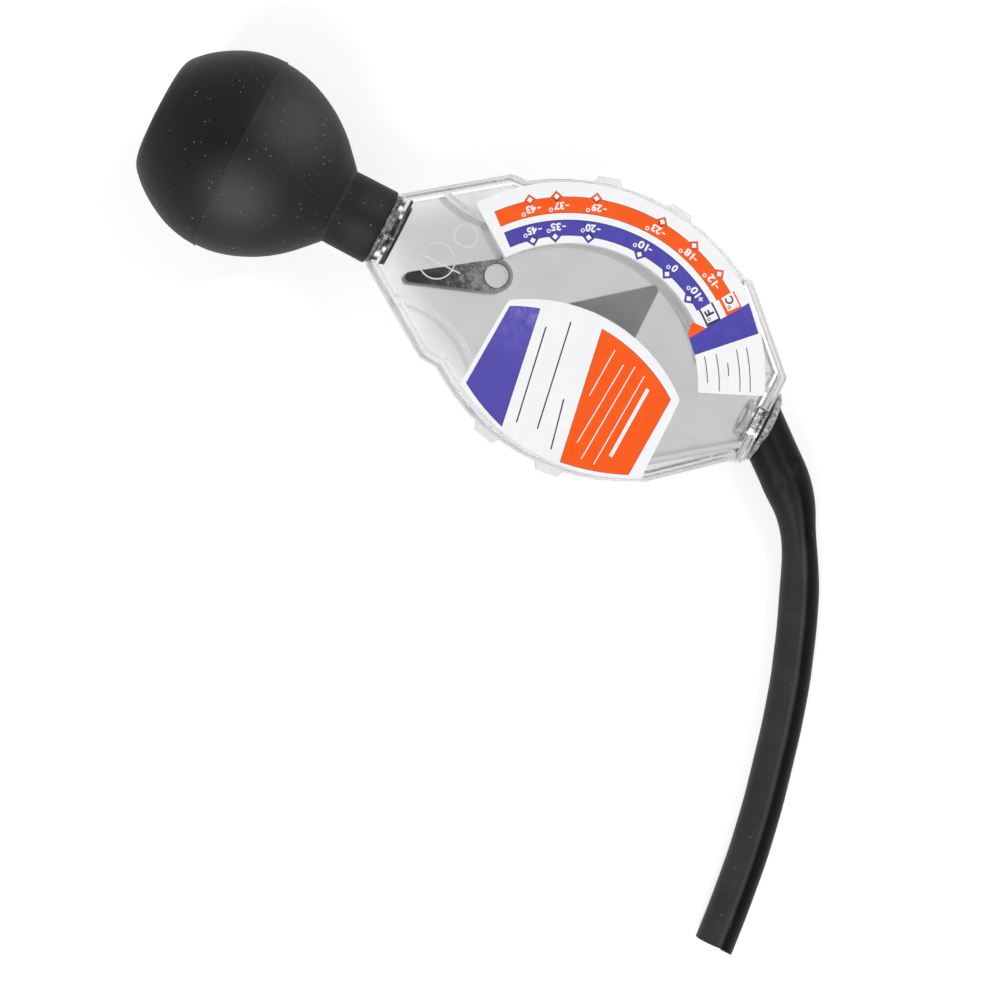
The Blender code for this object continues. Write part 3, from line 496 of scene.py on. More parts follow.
def printFilm(name, dark, pale):
    # Printed vinyl: an even colour with a little unevenness in the ink and a soft sheen.
    material, tree, shader = newMaterial(name, Specular_IOR_Level=0.25)
    cloud = place(tree, grain, Clouds=220.0, Tooth=2400.0, Share=0.4)
    marks = place(tree, scuffs, Scale=350.0, Turn=1.9)
    paint(tree, shader, cloud, (0.3, dark), (0.7, pale))
    roughen(tree, shader, marks, low=0.42, high=0.7)
    return material


def wornInk():
    # Blue ink that has gone pale and blotchy towards the top of its panel.
    material, tree, shader = newMaterial("inkBlueWorn", Roughness=0.45)
    axes = tree.nodes.new("ShaderNodeSeparateXYZ")
    fade = mapRange(tree, -19.5 * mm, -6 * mm)
    cloud = place(tree, grain, Clouds=330.0, Tooth=1500.0, Share=0.45)
    blotch = mapRange(tree, 0.36, 0.62)
    worn = maths(tree, "MULTIPLY")
    join(tree, (objectPlace(tree), axes), (axes.outputs["Y"], fade),
         (cloud, blotch), (fade, worn),
         (blotch, worn.inputs[1]))
    fresh, middling, faded = (0.070, 0.055, 0.38), (0.100, 0.085, 0.45), (0.19, 0.175, 0.54)
    paint(tree, shader, worn, (0.0, fresh), (0.5, middling), (1.0, faded))
    return material


def glueFinish():
    # Cured cement: cloudy grey, with bubbles and black crumbs of rubber in it.
    material, tree, shader = newMaterial("glue", Transmission_Weight=0.3, IOR=1.48, Roughness=0.3)
    cloud = place(tree, grain, Clouds=650.0, Tooth=1500.0, Share=0.45)
    paint(tree, shader, cloud, (0.36, 0.004), (0.42, 0.16), (0.52, 0.42), (0.64, 0.86))
    bump(tree, shader, cloud, depth=0.25, strength=0.8)
    return material


def scribedPlastic():
    # Plastic that a gate or an ejector pin has whitened.
    material, tree, shader = newMaterial("scribed", Transmission_Weight=0.1, IOR=1.49, Roughness=0.6)
    cloud = place(tree, grain, Clouds=900.0, Tooth=2500.0, Share=0.5)
    paint(tree, shader, cloud, (0.3, 0.86), (0.7, 0.98))
    return material


clear = clearPlastic()
rubber = bulbRubber(bulbToneAndPaintedLight)
hoseBlack = hoseRubber()
vaneGrey = greyPlastic()
baffleDark = baffleGrain()
brass = metal("brass", (0.60, 0.44, 0.20), (0.72, 0.55, 0.28), 0.32)
steel = metal("steel", (0.50, 0.50, 0.52), (0.64, 0.64, 0.66), 0.25)
filmWhite = printFilm("filmWhite", (0.86, 0.86, 0.885), (0.93, 0.93, 0.95))
inkWhite = printFilm("inkWhite", (0.86, 0.86, 0.87), (0.93, 0.93, 0.94))
inkOrange = printFilm("inkOrange", (0.90, 0.088, 0.003), (0.97, 0.115, 0.006))
inkBlue = printFilm("inkBlue", (0.056, 0.047, 0.35), (0.09, 0.076, 0.45))
inkBrown = printFilm("inkBrown", (0.13, 0.045, 0.03), (0.20, 0.07, 0.045))
inkNavy = printFilm("inkNavy", (0.03, 0.03, 0.09), (0.05, 0.05, 0.14))
inkBlack = printFilm("inkBlack", (0.012, 0.012, 0.014), (0.024, 0.024, 0.028))
inkBlueWorn = wornInk()
glue = glueFinish()
scribed = scribedPlastic()
print("materials built")


# Suction hose

hoseLook = {
    "radius": 5.15, "bore": 2.4, "stretched": 1.22, "necked": 0.88,
    "stretchEnd": 15.0, "neckedAt": 32.0, "relaxedAt": 48.0,
    "sides": 56, "step": 0.8, "faceAt": 108.7, "straight": 9.0, "skew": 1.8, "wave": 0.22,
    "endWaves": (3, 0.6),  # how many round the cut end, and where they start
    "dents": (
        (12.3, 60, 1.6, 1.5, 0.55), (15.4, 112, 1.5, 1.4, 0.50), (26.0, 82, 7.0, 0.9, 0.45),
        (31.0, 128, 4.5, 1.4, 0.35),
    ),  # station, degrees, half length, half width, depth
    # Painted light on one side of the hose, with a painted highlight line along its edge: degrees round the
    # hose, and shares.
    "pale": {"from": 79, "to": 205, "rise": 8, "fall": 30, "line": 5, "paintedLitSide": 0.62, "edge": 0.55},
    "paintedLightAlong": ((12, 0.35), (34, 1.0)),  # station, share
}
hoseRoute = [  # metres on the table, as the CAD has them
    (0.0787, -0.0010, 0.0094), (0.0830, -0.0045, 0.0089), (0.0870, -0.0075, 0.0085),
    (0.0909, -0.0106, 0.0081), (0.0961, -0.0154, 0.0073), (0.1001, -0.0207, 0.0065),
    (0.1036, -0.0263, 0.0058), (0.1066, -0.0320, 0.0054), (0.1093, -0.0379, 0.0052),
    (0.1118, -0.0439, 0.0052), (0.1141, -0.0500, 0.0052), (0.1163, -0.0561, 0.0052),
    (0.1182, -0.0623, 0.0052), (0.1200, -0.0686, 0.0052), (0.1216, -0.0750, 0.0052),
    (0.1232, -0.0815, 0.0052), (0.1247, -0.0880, 0.0052), (0.1260, -0.0946, 0.0052),
    (0.1272, -0.1014, 0.0052), (0.1282, -0.1087, 0.0052), (0.1292, -0.1170, 0.0052),
    (0.1301, -0.1262, 0.0052),
]


def evenly(points, step):
    # Reads a run of points again at an even step and gives each its distance from the start.
    lengths = [0.0]
    for a, b in zip(points, points[1:]):
        lengths.append(lengths[-1] + (b - a).length)
    count = round(lengths[-1] / step)
    out = []
    at = 0
    for i in range(count + 1):
        wanted = lengths[-1] * i / count
        while at < len(points) - 2 and lengths[at + 1] < wanted:
            at += 1
        share = (wanted - lengths[at]) / (lengths[at + 1] - lengths[at])
        out.append((wanted, points[at].lerp(points[at + 1], share)))
    return out


def dented(look, station, degrees, radius):
    # How far the kinks of the bend press the wall in at a place.
    depth = 0.0
    for at, turned, long, wide, deep in look["dents"]:
        aside = radius * math.radians(degrees - turned)
        depth += deep * mm * math.exp(-((station / mm - at) / long) ** 2 - (aside / (wide * mm)) ** 2)
    return depth


def paintedLightShare(pale, degrees):
    # Painted light round the hose: one side painted paler where the light falls, with a painted highlight
    # line along an edge of it.
    edge = math.exp(-((degrees - pale["from"]) / pale["line"]) ** 2)
    rise = (degrees - pale["from"]) / pale["rise"] + 0.5
    fall = (pale["to"] - degrees) / pale["fall"]
    inside = min(1.0, max(0.0, rise)) * min(1.0, max(0.0, fall))
    return pale["paintedLitSide"] * inside + pale["edge"] * edge


def makeHose(look):
    # Stretched over the spigot, drawn in beyond it, and then its own size down to the cut end.
    rows = evenly(smoothRun(hoseRoute, 12), look["step"] * mm)
    length = rows[-1][0]
    radius = look["radius"] * mm
    stretched = look["stretched"] * radius
    widths = (
        (0.0, stretched), (look["stretchEnd"] * mm, stretched),
        (look["neckedAt"] * mm, look["necked"] * radius), (look["relaxedAt"] * mm, radius), (length, radius),
    )
    sides = look["sides"]
    waves, turn = look["endWaves"]
    up = Vector((0, 0, 1))
    outer = []
    inner = []
    for index, (station, centre) in enumerate(rows):
        ahead = rows[min(index + 1, len(rows) - 1)][1] - rows[max(index - 1, 0)][1]
        along = ahead.normalized()
        left = up.cross(along).normalized()
        top = along.cross(left)
        wide = between(widths, station)
        ring, core = [], []
        for k in range(sides):
            angle = math.tau * k / sides
            out = left * math.cos(angle) + top * math.sin(angle)
            shift = 0.0
            if index == len(rows) - 1:
                skew = look["skew"] * (math.cos(angle) - 1) / 2
                shift = (skew + look["wave"] * math.sin(waves * angle + turn)) * mm
            pressed = dented(look, station, math.degrees(angle), wide)
            ring.append(centre + out * (wide - pressed) + along * shift)
            core.append(centre + out * look["bore"] * mm + along * shift)
        outer.append(ring)
        inner.append(core)
    trimStart(outer, rows, look)
    trimStart(inner, rows, look)
    bm = bmesh.new()
    # Painted light: each corner of the outside gets its share of the painted lit side, weaker near the
    # spigot.
    paintedLitSide = bm.verts.layers.float.new("paintedLitSide")
    shells = [[[bm.verts.new(p) for p in ring] for ring in wall] for wall in (outer, inner)]
    for (station, _), ring in zip(rows, shells[0]):
        fade = between(look["paintedLightAlong"], station / mm)
        for k, corner in enumerate(ring):
            corner[paintedLitSide] = paintedLightShare(look["pale"], 360 * k / sides) * fade
    for wall in shells:
        for near, far in zip(wall, wall[1:]):
            bridge(bm, near, far)
    for end in (0, -1):
        bridge(bm, shells[0][end], shells[1][end])
    mesh = meshOf("hose", bm)
    hose = settle("hose", mesh, [hoseBlack], instead="suction_hose", sharp=50)
    print("hose made,", round(length / mm, 1), "mm long")


def trimStart(wall, rows, look):
    # Ends the tube flush with the housing's end face, and spaces its first rings evenly from there.
    normal = (housing.to_3x3() @ Vector((1, 0, 0))).normalized()
    point = housing @ Vector((look["faceAt"], 0, 0))
    last = next(i for i, (station, _) in enumerate(rows) if station > look["straight"] * mm)
    along = (rows[last][1] - rows[0][1]).normalized()
    for k, corner in enumerate(wall[last]):
        start = corner - along * ((corner - point).dot(normal) / along.dot(normal))
        for i in range(last):
            wall[i][k] = start.lerp(corner, i / last)


makeHose(hoseLook)


# Squeeze bulb

bulbLook = {
    "radius": 25.5, "centre": -39.8, "wall": 2.6, "steps": 160,
    "back": [
        (-0.872, 0.0), (-0.872, 0.25), (-0.872, 0.470), (-0.869, 0.510), (-0.852, 0.562), (-0.820, 0.612),
        (-0.780, 0.656), (-0.700, 0.732), (-0.600, 0.805), (-0.500, 0.866), (-0.375, 0.927), (-0.250, 0.968),
        (-0.120, 0.992), (0.0, 1.0),
    ],  # shares of the radius, from the middle
    "flash": ((0.0, 0.0), (0.048, 0.12), (0.112, 0.12), (0.16, -0.144)),  # the thin ridge left at the seam
    "front": [
        (0.012, 0.990), (0.120, 0.984), (0.250, 0.960), (0.400, 0.912), (0.560, 0.838), (0.700, 0.752),
        (0.845, 0.637), (0.960, 0.521), (1.040, 0.436),
    ],
    "neck": 9.8, "crease": -12.2, "creaseRun": ((-0.35, 0.55), (0.0, 0.05), (0.4, -0.05), (1.2, 0.0)),
    "neckRun": (-9.2, -1.2), "neckSwell": 0.1, "face": -0.3, "faceRun": ((-0.35, 0.02), (0.0, -0.35)),
    "stub": 5.9, "lip": 7.4, "lipRun": (3.5, 4.4), "lipRound": 0.2, "lipSpread": 1.09,
    "bore": 4.0, "boreRun": ((-1.0, 1.2), (1.0, 0.0)),
}


def makeBulb(look):
    # Two moulded halves that meet in a soft step, a creased neck, and the stub in the housing's port.
    size, middle, crease, neck = look["radius"], look["centre"], look["crease"], look["neck"]
    stub, lip, soft, bore = look["stub"], look["lip"], look["lipRound"], look["bore"]
    halves = [smoothRun(look[side], 5) for side in ("back", "front")]
    back, front = [[(middle + p.x * size, p.y * size) for p in half] for half in halves]
    outside = back[:-1] + [(middle + x, size + r) for x, r in look["flash"]] + front
    outside += [(crease + x, neck + r) for x, r in look["creaseRun"]]
    outside += [(x, neck + look["neckSwell"] * (x - crease) / -crease) for x in spread(*look["neckRun"], 4)]
    outside += [(look["face"] + x, neck + r) for x, r in look["faceRun"]] + [(look["face"], stub)]
    first, last = look["lipRun"]
    outside += [(first, stub), (first, lip - soft), (first + soft, lip)]
    outside += [(last - soft, lip), (last, lip - soft), (last, bore)]
    inner = 1 - look["wall"] / size
    hollow = [(middle + (x - middle) * inner, r * inner) for x, r in back[::4] + front[2::4]]
    hollow += [(crease + x, bore + r) for x, r in look["boreRun"]]
    bm = bmesh.new()
    lathe(bm, outside + hollow[::-1], look["steps"])
    for corner in bm.verts:
        if corner.co.x > 0 and corner.co.yz.length > (stub + lip) / 2:
            corner.co.y *= look["lipSpread"]
    mesh = meshOf("bulb", bm, housing)
    settle("bulb", mesh, [rubber], instead="squeeze_bulb", sharp=45)
    print("bulb made")


makeBulb(bulbLook)


# Clear shells and the pieces inside them

cadPieces = (
    ("front_shell", "frontShell", "housing", "clear_plastic", clear, 0.25, 3),
    ("back_shell", "backShell", "housing", "clear_plastic", clear, 0.25, 3),
    ("hose_nipple", "nipple", "housing", "clear_plastic", clear, 0.2, 2),
    ("pointer_vane", "vane", "pointer", "grey_plastic", vaneGrey, 0.15, 2),
    ("pointer_weight", "slug", "pointer", "brass", brass, 0.15, 2),
    ("pivot_pin", "pin", "housing", "steel", steel, 0.12, 2),
    ("stop_baffle", "baffle", "housing", "dark_plastic", baffleDark, 0.3, 2),
    ("hose_glue_bead", "hoseGlue", "housing", "glue", glue, 0.3, 2),
)  # node, name, body, slot, material, radius and steps of its edges
for piece in cadPieces:
    fromNode(*piece)


# Cement round the bulb's neck, and the moulding marks on the dial side

neckGlueLook = {
    "profile": [
        (-0.2, 6.1), (-0.2, 9.0), (0.05, 9.35), (0.4, 9.2), (0.7, 8.45), (1.5, 8.3), (1.95, 7.7), (2.0, 6.2),
    ],
    "steps": 150, "lump": 0.22, "grain": 1.1, "stretch": 1.5, "lumpyFrom": 7, "aside": 0.6,
}
mouldMarks = {
    "level": 9.6, "wire": 0.17, "raised": 0.4, "steps": 48,
    "rings": (((15.4, -1.5), 4.5, 205, 520), ((19.0, 7.5), 2.9, 0, 360)),
    "scratches": (((10.9, -1.9), (22.1, -1.6)),),
}


def makeNeckGlue(look):
    bm = bmesh.new()
    rows = []
    for i in range(look["steps"]):
        angle = math.tau * i / look["steps"]
        row = []
        for x, r in look["profile"]:
            at = Vector((x * look["stretch"], r * math.cos(angle), r * math.sin(angle))) * look["grain"]
            swell = noise.noise(at) * look["lump"] if r > look["lumpyFrom"] else 0.0
            row.append(bm.verts.new((x + swell * look["aside"], *polar(r + swell, math.degrees(angle)))))
        rows.append(row)
    for near, far in zip(rows, rows[1:] + rows[:1]):
        bridge(bm, near, far)
    mesh = meshOf("neckGlue", bm, housing)
    settle("neckGlue", mesh, [glue], instead="bulb_glue_bead", sharp=None)


def wire(bm, points, look, closed=False):
    # A thin four-sided thread along flat points.
    radius = look["wire"]
    level = look["level"] + radius * look["raised"]
    last = len(points) - 1
    rings = []
    for k, here in enumerate(points):
        before = points[k - 1] if closed or k else here
        after = points[(k + 1) % len(points)] if closed or k < last else here
        side = Vector((before[1] - after[1], after[0] - before[0], 0)).normalized() * radius
        up = Vector((0, 0, radius))
        rings.append([bm.verts.new(Vector((*here, level)) + offset) for offset in (side, up, -side, -up)])
    pairs = list(zip(rings, rings[1:]))
    if closed:
        pairs.append((rings[-1], rings[0]))
    else:
        bm.faces.new(rings[0])
        bm.faces.new(rings[-1])
    for near, far in pairs:
        bridge(bm, near, far)


def makeMouldMarks(look):
    bm = bmesh.new()
    for centre, radius, start, end in look["rings"]:
        closed = end - start == 360
        points = arc(radius, start, end, look["steps"], centre)
        wire(bm, points[:-1] if closed else points, look, closed)
    for start, end in look["scratches"]:
        wire(bm, [Vector(start).lerp(Vector(end), t) for t in spread(0, 1, 6)], look)
    settle("mouldMarks", meshOf("mouldMarks", bm, housing), [scribed], sharp=None)


makeNeckGlue(neckGlueLook)
makeMouldMarks(mouldMarks)
print("shells and inner pieces made")


# Labels: two films on the raised pad, with their print in thin layers of ink

films = {
    "sheet": (10.3, 10.6), "margin": 0.15, "corner": 1.4,
    "scaleEdge": [(17.13, 15.59), (35.23, 31.10), (58.54, 36.46), (84.55, 30.10), (104.39, 6.59)],
    "scaleInner": ((32.6, 24.3, 49.5), (35.5, 52.0, 144.2)),  # radius, first and last degrees
    "centreTop": [(35.56, -1.84), (60.70, 5.52), (85.80, -4.02)],
    "centreBase": [(86.07, -26.21), (62.66, -32.83), (34.36, -26.07)],
}
inkLayers = {"outline": 0.010, "colour": 0.020, "white": 0.032, "letters": 0.042, "sunk": 0.02}
dial = {
    "orange": {
        "band": (43.05, 47.12), "span": (57.2, 140.8), "line": 0.12,
        "marksAt": 47.2, "numbersAt": 44.9, "ringsAt": 44.05,
        "numbers": (("-43", 129.4, 129.6), ("-37", 121.2, 120.6), ("-29", 109.0, 108.5),
                    ("-23", 87.6, 88.1), ("-18", 75.5, 74.9), ("-12", 63.9, 63.7)),  # mark, number in degrees
    },
    "blue": {
        "band": (37.42, 41.4), "span": (57.6, 140.6), "line": 0.16,
        "marksAt": 37.35, "numbersAt": 39.7, "ringsAt": 38.9,
        "numbers": (("-45", 131.5, 130.9), ("-35", 122.8, 122.2), ("-20", 109.8, 109.6),
                    ("-10", 89.1, 89.4), ("0", 76.0, 75.2), ("+10", 63.3, 63.8)),
    },
    "roof": 1.32, "roofLine": 1.4, "diamond": 0.76, "digit": (1.28, 1.95), "bold": 0.035, "endLine": 0.12,
    "ring": (0.52, 0.29), "ringAside": (1.5125, 0.61875),  # degrees, and degrees more for each digit
    "boxRing": 0.85, "sign": (0.92, 0.34), "plus": (1.25, 0.36), "signStep": 0.32, "degreesPerMm": 1.3,
    "endBand": [(32.8, 48.95), (50.1, 51.9), (49.8, 42.9), (32.8, 41.35)],
    "arrow": [(35.1, 54.6), (37.7, 49.9), (32.8, 48.95), (32.8, 51.2)],
    "boxes": (
        {"letter": "C", "white": ((44.35, 47.6), (52.3, 57.2)), "frame": ((43.6, 48.0), (51.3, 57.2)),
         "at": (45.95, 55.3), "size": (1.9, 2.15), "ringAt": (45.1, 53.35), "ink": "orange", "letterInk": 1},
        {"letter": "F", "white": ((38.38, 41.42), (51.6, 57.6)), "frame": ((37.9, 41.88), (50.4, 57.6)),
         "at": (39.95, 54.9), "size": (1.5, 2.25), "ringAt": (39.15, 52.75), "ink": "navy", "letterInk": 2},
    ),
    "rules": (
        (35.1, 28.7, 39.6), (38.1, 25.4, 39.6), (40.6, 31.0, 35.6), (43.4, 25.6, 39.6), (46.0, 25.6, 39.6),
    ),
    "ruleWidth": 0.22,
}
centrePrint = {
    "panels": (
        ("navy", "blue", [(36.65, -3.06), (40.2, -1.35), (43.75, -0.05)],
         [(48.77, -30.64), (42.1, -28.3), (35.76, -25.05)]),
        ("brown", "orange", [(59.8, 2.66), (72.2, 0.55), (83.5, -5.0)],
         [(82.7, -26.7), (74.3, -29.9), (65.75, -31.8)]),
    ),  # line, colour, top and base
    "line": 0.12,
    "rules": (
        ("white", "white", 0.95, ((76.5, -24.7, 77.1, -5.4),)),
        ("white", "white", 0.26, ((64.7, -13.7, 65.2, -0.6), (67.4, -25.4, 68.8, -2.9),
                                  (70.2, -28.6, 71.6, -1.9), (73.6, -28.4, 74.8, -2.9))),
        ("colour", "black", 0.34, ((51.5, -28.0, 47.1, -3.4), (56.9, -27.0, 52.1, 0.5),
                                   (62.3, -30.0, 59.4, -17.4))),
    ),  # layer, ink, width, ends
}
inkOrder = ("brown", "orange", "navy", "blue", "white", "black")


def arcThrough(first, middle, last, steps):
    # Points of the circle through three places.
    a, b, c = (Vector(p) for p in (first, middle, last))
    across, along = b - a, c - a
    double = 2 * across.cross(along)
    x = (along.y * across.length_squared - across.y * along.length_squared) / double
    y = (across.x * along.length_squared - along.x * across.length_squared) / double
    centre = a + Vector((x, y))
    turns = [math.degrees(math.atan2(p.y - centre.y, p.x - centre.x)) for p in (a, b, c)]
    sweep = (turns[2] - turns[0]) % 360
    if (turns[1] - turns[0]) % 360 > sweep:
        sweep -= 360
    return arc((a - centre).length, turns[0], turns[0] + sweep, steps, centre)


def roundCorners(points, radius, blunt=155, steps=6):
    # Rounds an outline's corners, apart from those blunter than so many degrees.
    out = []
    for before, here, after in zip(points[-1:] + points[:-1], points, points[1:] + points[:1]):
        here, back, ahead = Vector(here), Vector(before) - Vector(here), Vector(after) - Vector(here)
        corner = back.angle(ahead)
        if math.degrees(corner) > blunt:
            out.append(here)
            continue
        reach = min(radius / math.tan(corner / 2), back.length / 2, ahead.length / 2)
        start, end = here + back.normalized() * reach, here + ahead.normalized() * reach
        out += [start * (1 - t) ** 2 + here * 2 * t * (1 - t) + end * t ** 2 for t in spread(0, 1, steps)]
    return out


def shrink(points, by):
    # Moves a clockwise outline's points inwards.
    out = []
    for before, here, after in zip(points[-1:] + points[:-1], points, points[1:] + points[:1]):
        along = (Vector(after) - Vector(before)).normalized()
        out.append(Vector(here) + Vector((along.y, -along.x)) * by)
    return out


def onDial(radius, degrees):
    return polar(radius, degrees, pivot)


def dialBand(radii, degrees, steps=None):
    steps = steps or max(2, round(abs(degrees[1] - degrees[0])))
    return arc(radii[1], *degrees, steps, pivot) + arc(radii[0], *degrees[::-1], steps, pivot)


def inkSheet(bm, outline, layer, ink):
    level = films["sheet"][1]
    slab(bm, outline, level - inkLayers["sunk"], level + inkLayers[layer], inkOrder.index(ink))


def printed(name, bm, inks, node=None):
    settle(name, meshOf(name, bm, housing), inks, instead=node, sharp=30)


def makeFilms(look):
    edge = look["scaleEdge"]
    (wideRadius, *wide), (radius, *narrow) = look["scaleInner"]
    outer = arcThrough(*edge[:3], 28) + arcThrough(*edge[2:], 28)[1:]
    inner = arc(wideRadius, *wide, 14, pivot) + arc(radius, *narrow, 48, pivot)
    centre = arcThrough(*look["centreTop"], 32) + arcThrough(*look["centreBase"], 32)
    sheets = ("scaleFilm", "scale_label", outer + inner), ("centreFilm", "centre_label", centre)
    for name, node, outline in sheets:
        bm = bmesh.new()
        slab(bm, shrink(roundCorners(outline, look["corner"]), look["margin"]), *look["sheet"])
        printed(name, bm, [filmWhite], node)


def markTree():
    # Stands a flat diamond on every point of a mesh, turned by the point's own "turn" in radians.
    tree = bpy.data.node_groups.new("dialDiamonds", "GeometryNodeTree")
    kinds = {"Points": "Geometry", "Half Width": "Float", "Thickness": "Float", "Ink": "Material"}
    sockets = {}
    for name, kind in kinds.items():
        sockets[name] = tree.interface.new_socket(name, in_out="INPUT", socket_type="NodeSocket" + kind)
    tree.interface.new_socket("Diamonds", in_out="OUTPUT", socket_type="NodeSocketGeometry")
    into, out = tree.nodes.new("NodeGroupInput"), tree.nodes.new("NodeGroupOutput")
    shape = addNode(tree, "GeometryNodeMeshCylinder", {"Vertices": 4})
    turn = addNode(tree, "GeometryNodeInputNamedAttribute", {"Name": "turn"}, data_type="FLOAT")
    spin = addNode(tree, "ShaderNodeCombineXYZ")
    euler = tree.nodes.new("FunctionNodeEulerToRotation")
    stand = tree.nodes.new("GeometryNodeInstanceOnPoints")
    real = tree.nodes.new("GeometryNodeRealizeInstances")
    ink = tree.nodes.new("GeometryNodeSetMaterial")
    join(tree,
         (into.outputs["Half Width"], shape.inputs["Radius"]),
         (into.outputs["Thickness"], shape.inputs["Depth"]),
         (turn.outputs["Attribute"], spin.inputs["Z"]), (spin, euler),
         (into.outputs["Points"], stand.inputs["Points"]), (shape.outputs["Mesh"], stand.inputs["Instance"]),
         (euler, stand.inputs["Rotation"]), (stand, real),
         (real, ink.inputs["Geometry"]), (into.outputs["Ink"], ink.inputs["Material"]),
         (ink, out))
    return tree, sockets


def makeDiamonds(look):
    # Each mark is a white diamond on a bigger one of the band's colour, with a dark line round that.
    tree, sockets = markTree()
    level = films["sheet"][1]
    for scale, line, colour in (("orange", inkBrown, inkOrange), ("blue", inkNavy, inkBlue)):
        marks = look[scale]
        layers = (("Lines", look["roof"] + look["roofLine"] * marks["line"], "outline", line),
                  ("Roofs", look["roof"], "colour", colour), ("Diamonds", look["diamond"], "white", inkWhite))
        for part, half, layer, ink in layers:
            top = inkLayers[layer]
            middle = level + (top - inkLayers["sunk"]) / 2
            mesh = bpy.data.meshes.new(scale + part)
            angles = [at for _, at, _ in marks["numbers"]]
            mesh.from_pydata([(*onDial(marks["marksAt"], at), middle) for at in angles], [], [])
            turns = mesh.attributes.new("turn", "FLOAT", "POINT")
            turns.data.foreach_set("value", [math.radians(at) for at in angles])
            seed = freshObject(scale + part + "Points", mesh)
            grow = seed.modifiers.new("diamonds", "NODES")
            grow.node_group = tree
            grow[sockets["Half Width"].identifier] = half
            grow[sockets["Thickness"].identifier] = top + inkLayers["sunk"]
            grow[sockets["Ink"].identifier] = ink
            made = applied(seed)
            made.transform(housing)
            settle(scale + part, made, [ink], sharp=30)


def makeBands(look):
    inks = [inkBrown, inkOrange, inkNavy, inkBlue, inkWhite, inkBlack]
    bm = bmesh.new()
    for line, colour in (("brown", "orange"), ("navy", "blue")):
        low, high = look[colour]["band"]
        gap = look[colour]["line"]
        first, last = look[colour]["span"]
        inside = (low + gap, high - gap), (first, last - gap * look["degreesPerMm"])
        inkSheet(bm, dialBand((low, high), (first, last)), "outline", line)
        inkSheet(bm, dialBand(*inside), "colour", colour)
    for box in look["boxes"]:
        inkSheet(bm, dialBand(*box["frame"], 6), "colour", box["ink"])
        inkSheet(bm, dialBand(*box["white"], 6), "white", "white")
    endBand = [onDial(*p) for p in look["endBand"]]
    inkSheet(bm, shrink(endBand, -look["endLine"]), "outline", "navy")
    inkSheet(bm, endBand, "letters", "blue")
    inkSheet(bm, [onDial(*p) for p in look["arrow"]], "white", "orange")
    half = look["ruleWidth"] / 2
    for radius, first, last in look["rules"]:
        inkSheet(bm, dialBand((radius - half, radius + half), (first, last)), "colour", "black")
    printed("scaleBands", bm, inks)


def glyphMesh(text, width, height, bold):
    # A word as a flat mesh that fills a box of this size round the origin.
    font = bpy.data.curves.new("glyphs", "FONT")
    font.body = text
    font.offset = bold
    font.resolution_u = 4
    font.extrude = 0.5
    mesh = applied(freshObject("glyphs", font))
    low = Vector([min(v.co[i] for v in mesh.vertices) for i in range(3)])
    high = Vector([max(v.co[i] for v in mesh.vertices) for i in range(3)])
    thick = inkLayers["letters"] + inkLayers["sunk"]
    size = Matrix.Diagonal((width / (high.x - low.x), height / (high.y - low.y), thick / (high.z - low.z), 1))
    mesh.transform(size @ Matrix.Translation(-(low + high) / 2))
    return mesh


def dialPlace(radius, degrees):
    # Stands a sign on the dial with its top towards the pivot, as the scale is read.
    level = films["sheet"][1] + (inkLayers["letters"] - inkLayers["sunk"]) / 2
    turn = Matrix.Rotation(math.radians(degrees + 90), 4, "Z")
    return Matrix.Translation(Vector((*onDial(radius, degrees), level))) @ turn


def addMesh(bm, mesh, where, ink):
    mesh.transform(where)
    before = len(bm.faces)
    bm.from_mesh(mesh)
    bm.faces.ensure_lookup_table()
    for face in bm.faces[before:]:
        face.material_index = ink
    bpy.data.meshes.remove(mesh)


def degreeRing(bm, where, radii, ink):
    thick = (inkLayers["letters"] + inkLayers["sunk"]) / 2
    rings = []
    for z in (-thick, thick):
        for radius in radii:
            circle = arc(radius, 0, 342, 19)  # a point every 18 degrees
            rings.append([bm.verts.new(where @ Vector((*p, z))) for p in circle])
    lowOut, lowIn, highOut, highIn = rings
    for first, second in ((lowIn, lowOut), (highOut, highIn), (lowOut, highOut), (highIn, lowIn)):
        bridge(bm, first, second, ink)


def makeNumbers(look):
    bm = bmesh.new()
    width, height = look["digit"]
    aside, each = look["ringAside"]
    for scale in ("orange", "blue"):
        marks = look[scale]
        for text, _, at in marks["numbers"]:
            digits = text.lstrip("+-")
            broad = width * len(digits)
            where = dialPlace(marks["numbersAt"], at)
            addMesh(bm, glyphMesh(digits, broad, height, look["bold"]), where, 0)
            degreeRing(bm, dialPlace(marks["ringsAt"], at + aside + each * len(digits)), look["ring"], 0)
            if text[0] not in "+-":
                continue
            long, thin = look["plus" if text[0] == "+" else "sign"]
            sign = where @ Matrix.Translation((-(broad + long) / 2 - look["signStep"], 0, 0))
            addMesh(bm, glyphMesh("-", long, thin, 0.0), sign, 0)
            if text[0] == "+":
                addMesh(bm, glyphMesh("-", thin, long, 0.0), sign, 0)
    for box in look["boxes"]:
        letter = glyphMesh(box["letter"], *box["size"], look["bold"])
        addMesh(bm, letter, dialPlace(*box["at"]), box["letterInk"])
        ring = [look["boxRing"] * r for r in look["ring"]]
        degreeRing(bm, dialPlace(*box["ringAt"]), ring, box["letterInk"])
    printed("scaleNumbers", bm, [inkWhite, inkBrown, inkNavy])


def ruleOutline(x0, y0, x1, y1, width):
    a, b = Vector((x0, y0)), Vector((x1, y1))
    side = Vector((a.y - b.y, b.x - a.x)).normalized() * width / 2
    return [a + side, b + side, b - side, a - side]


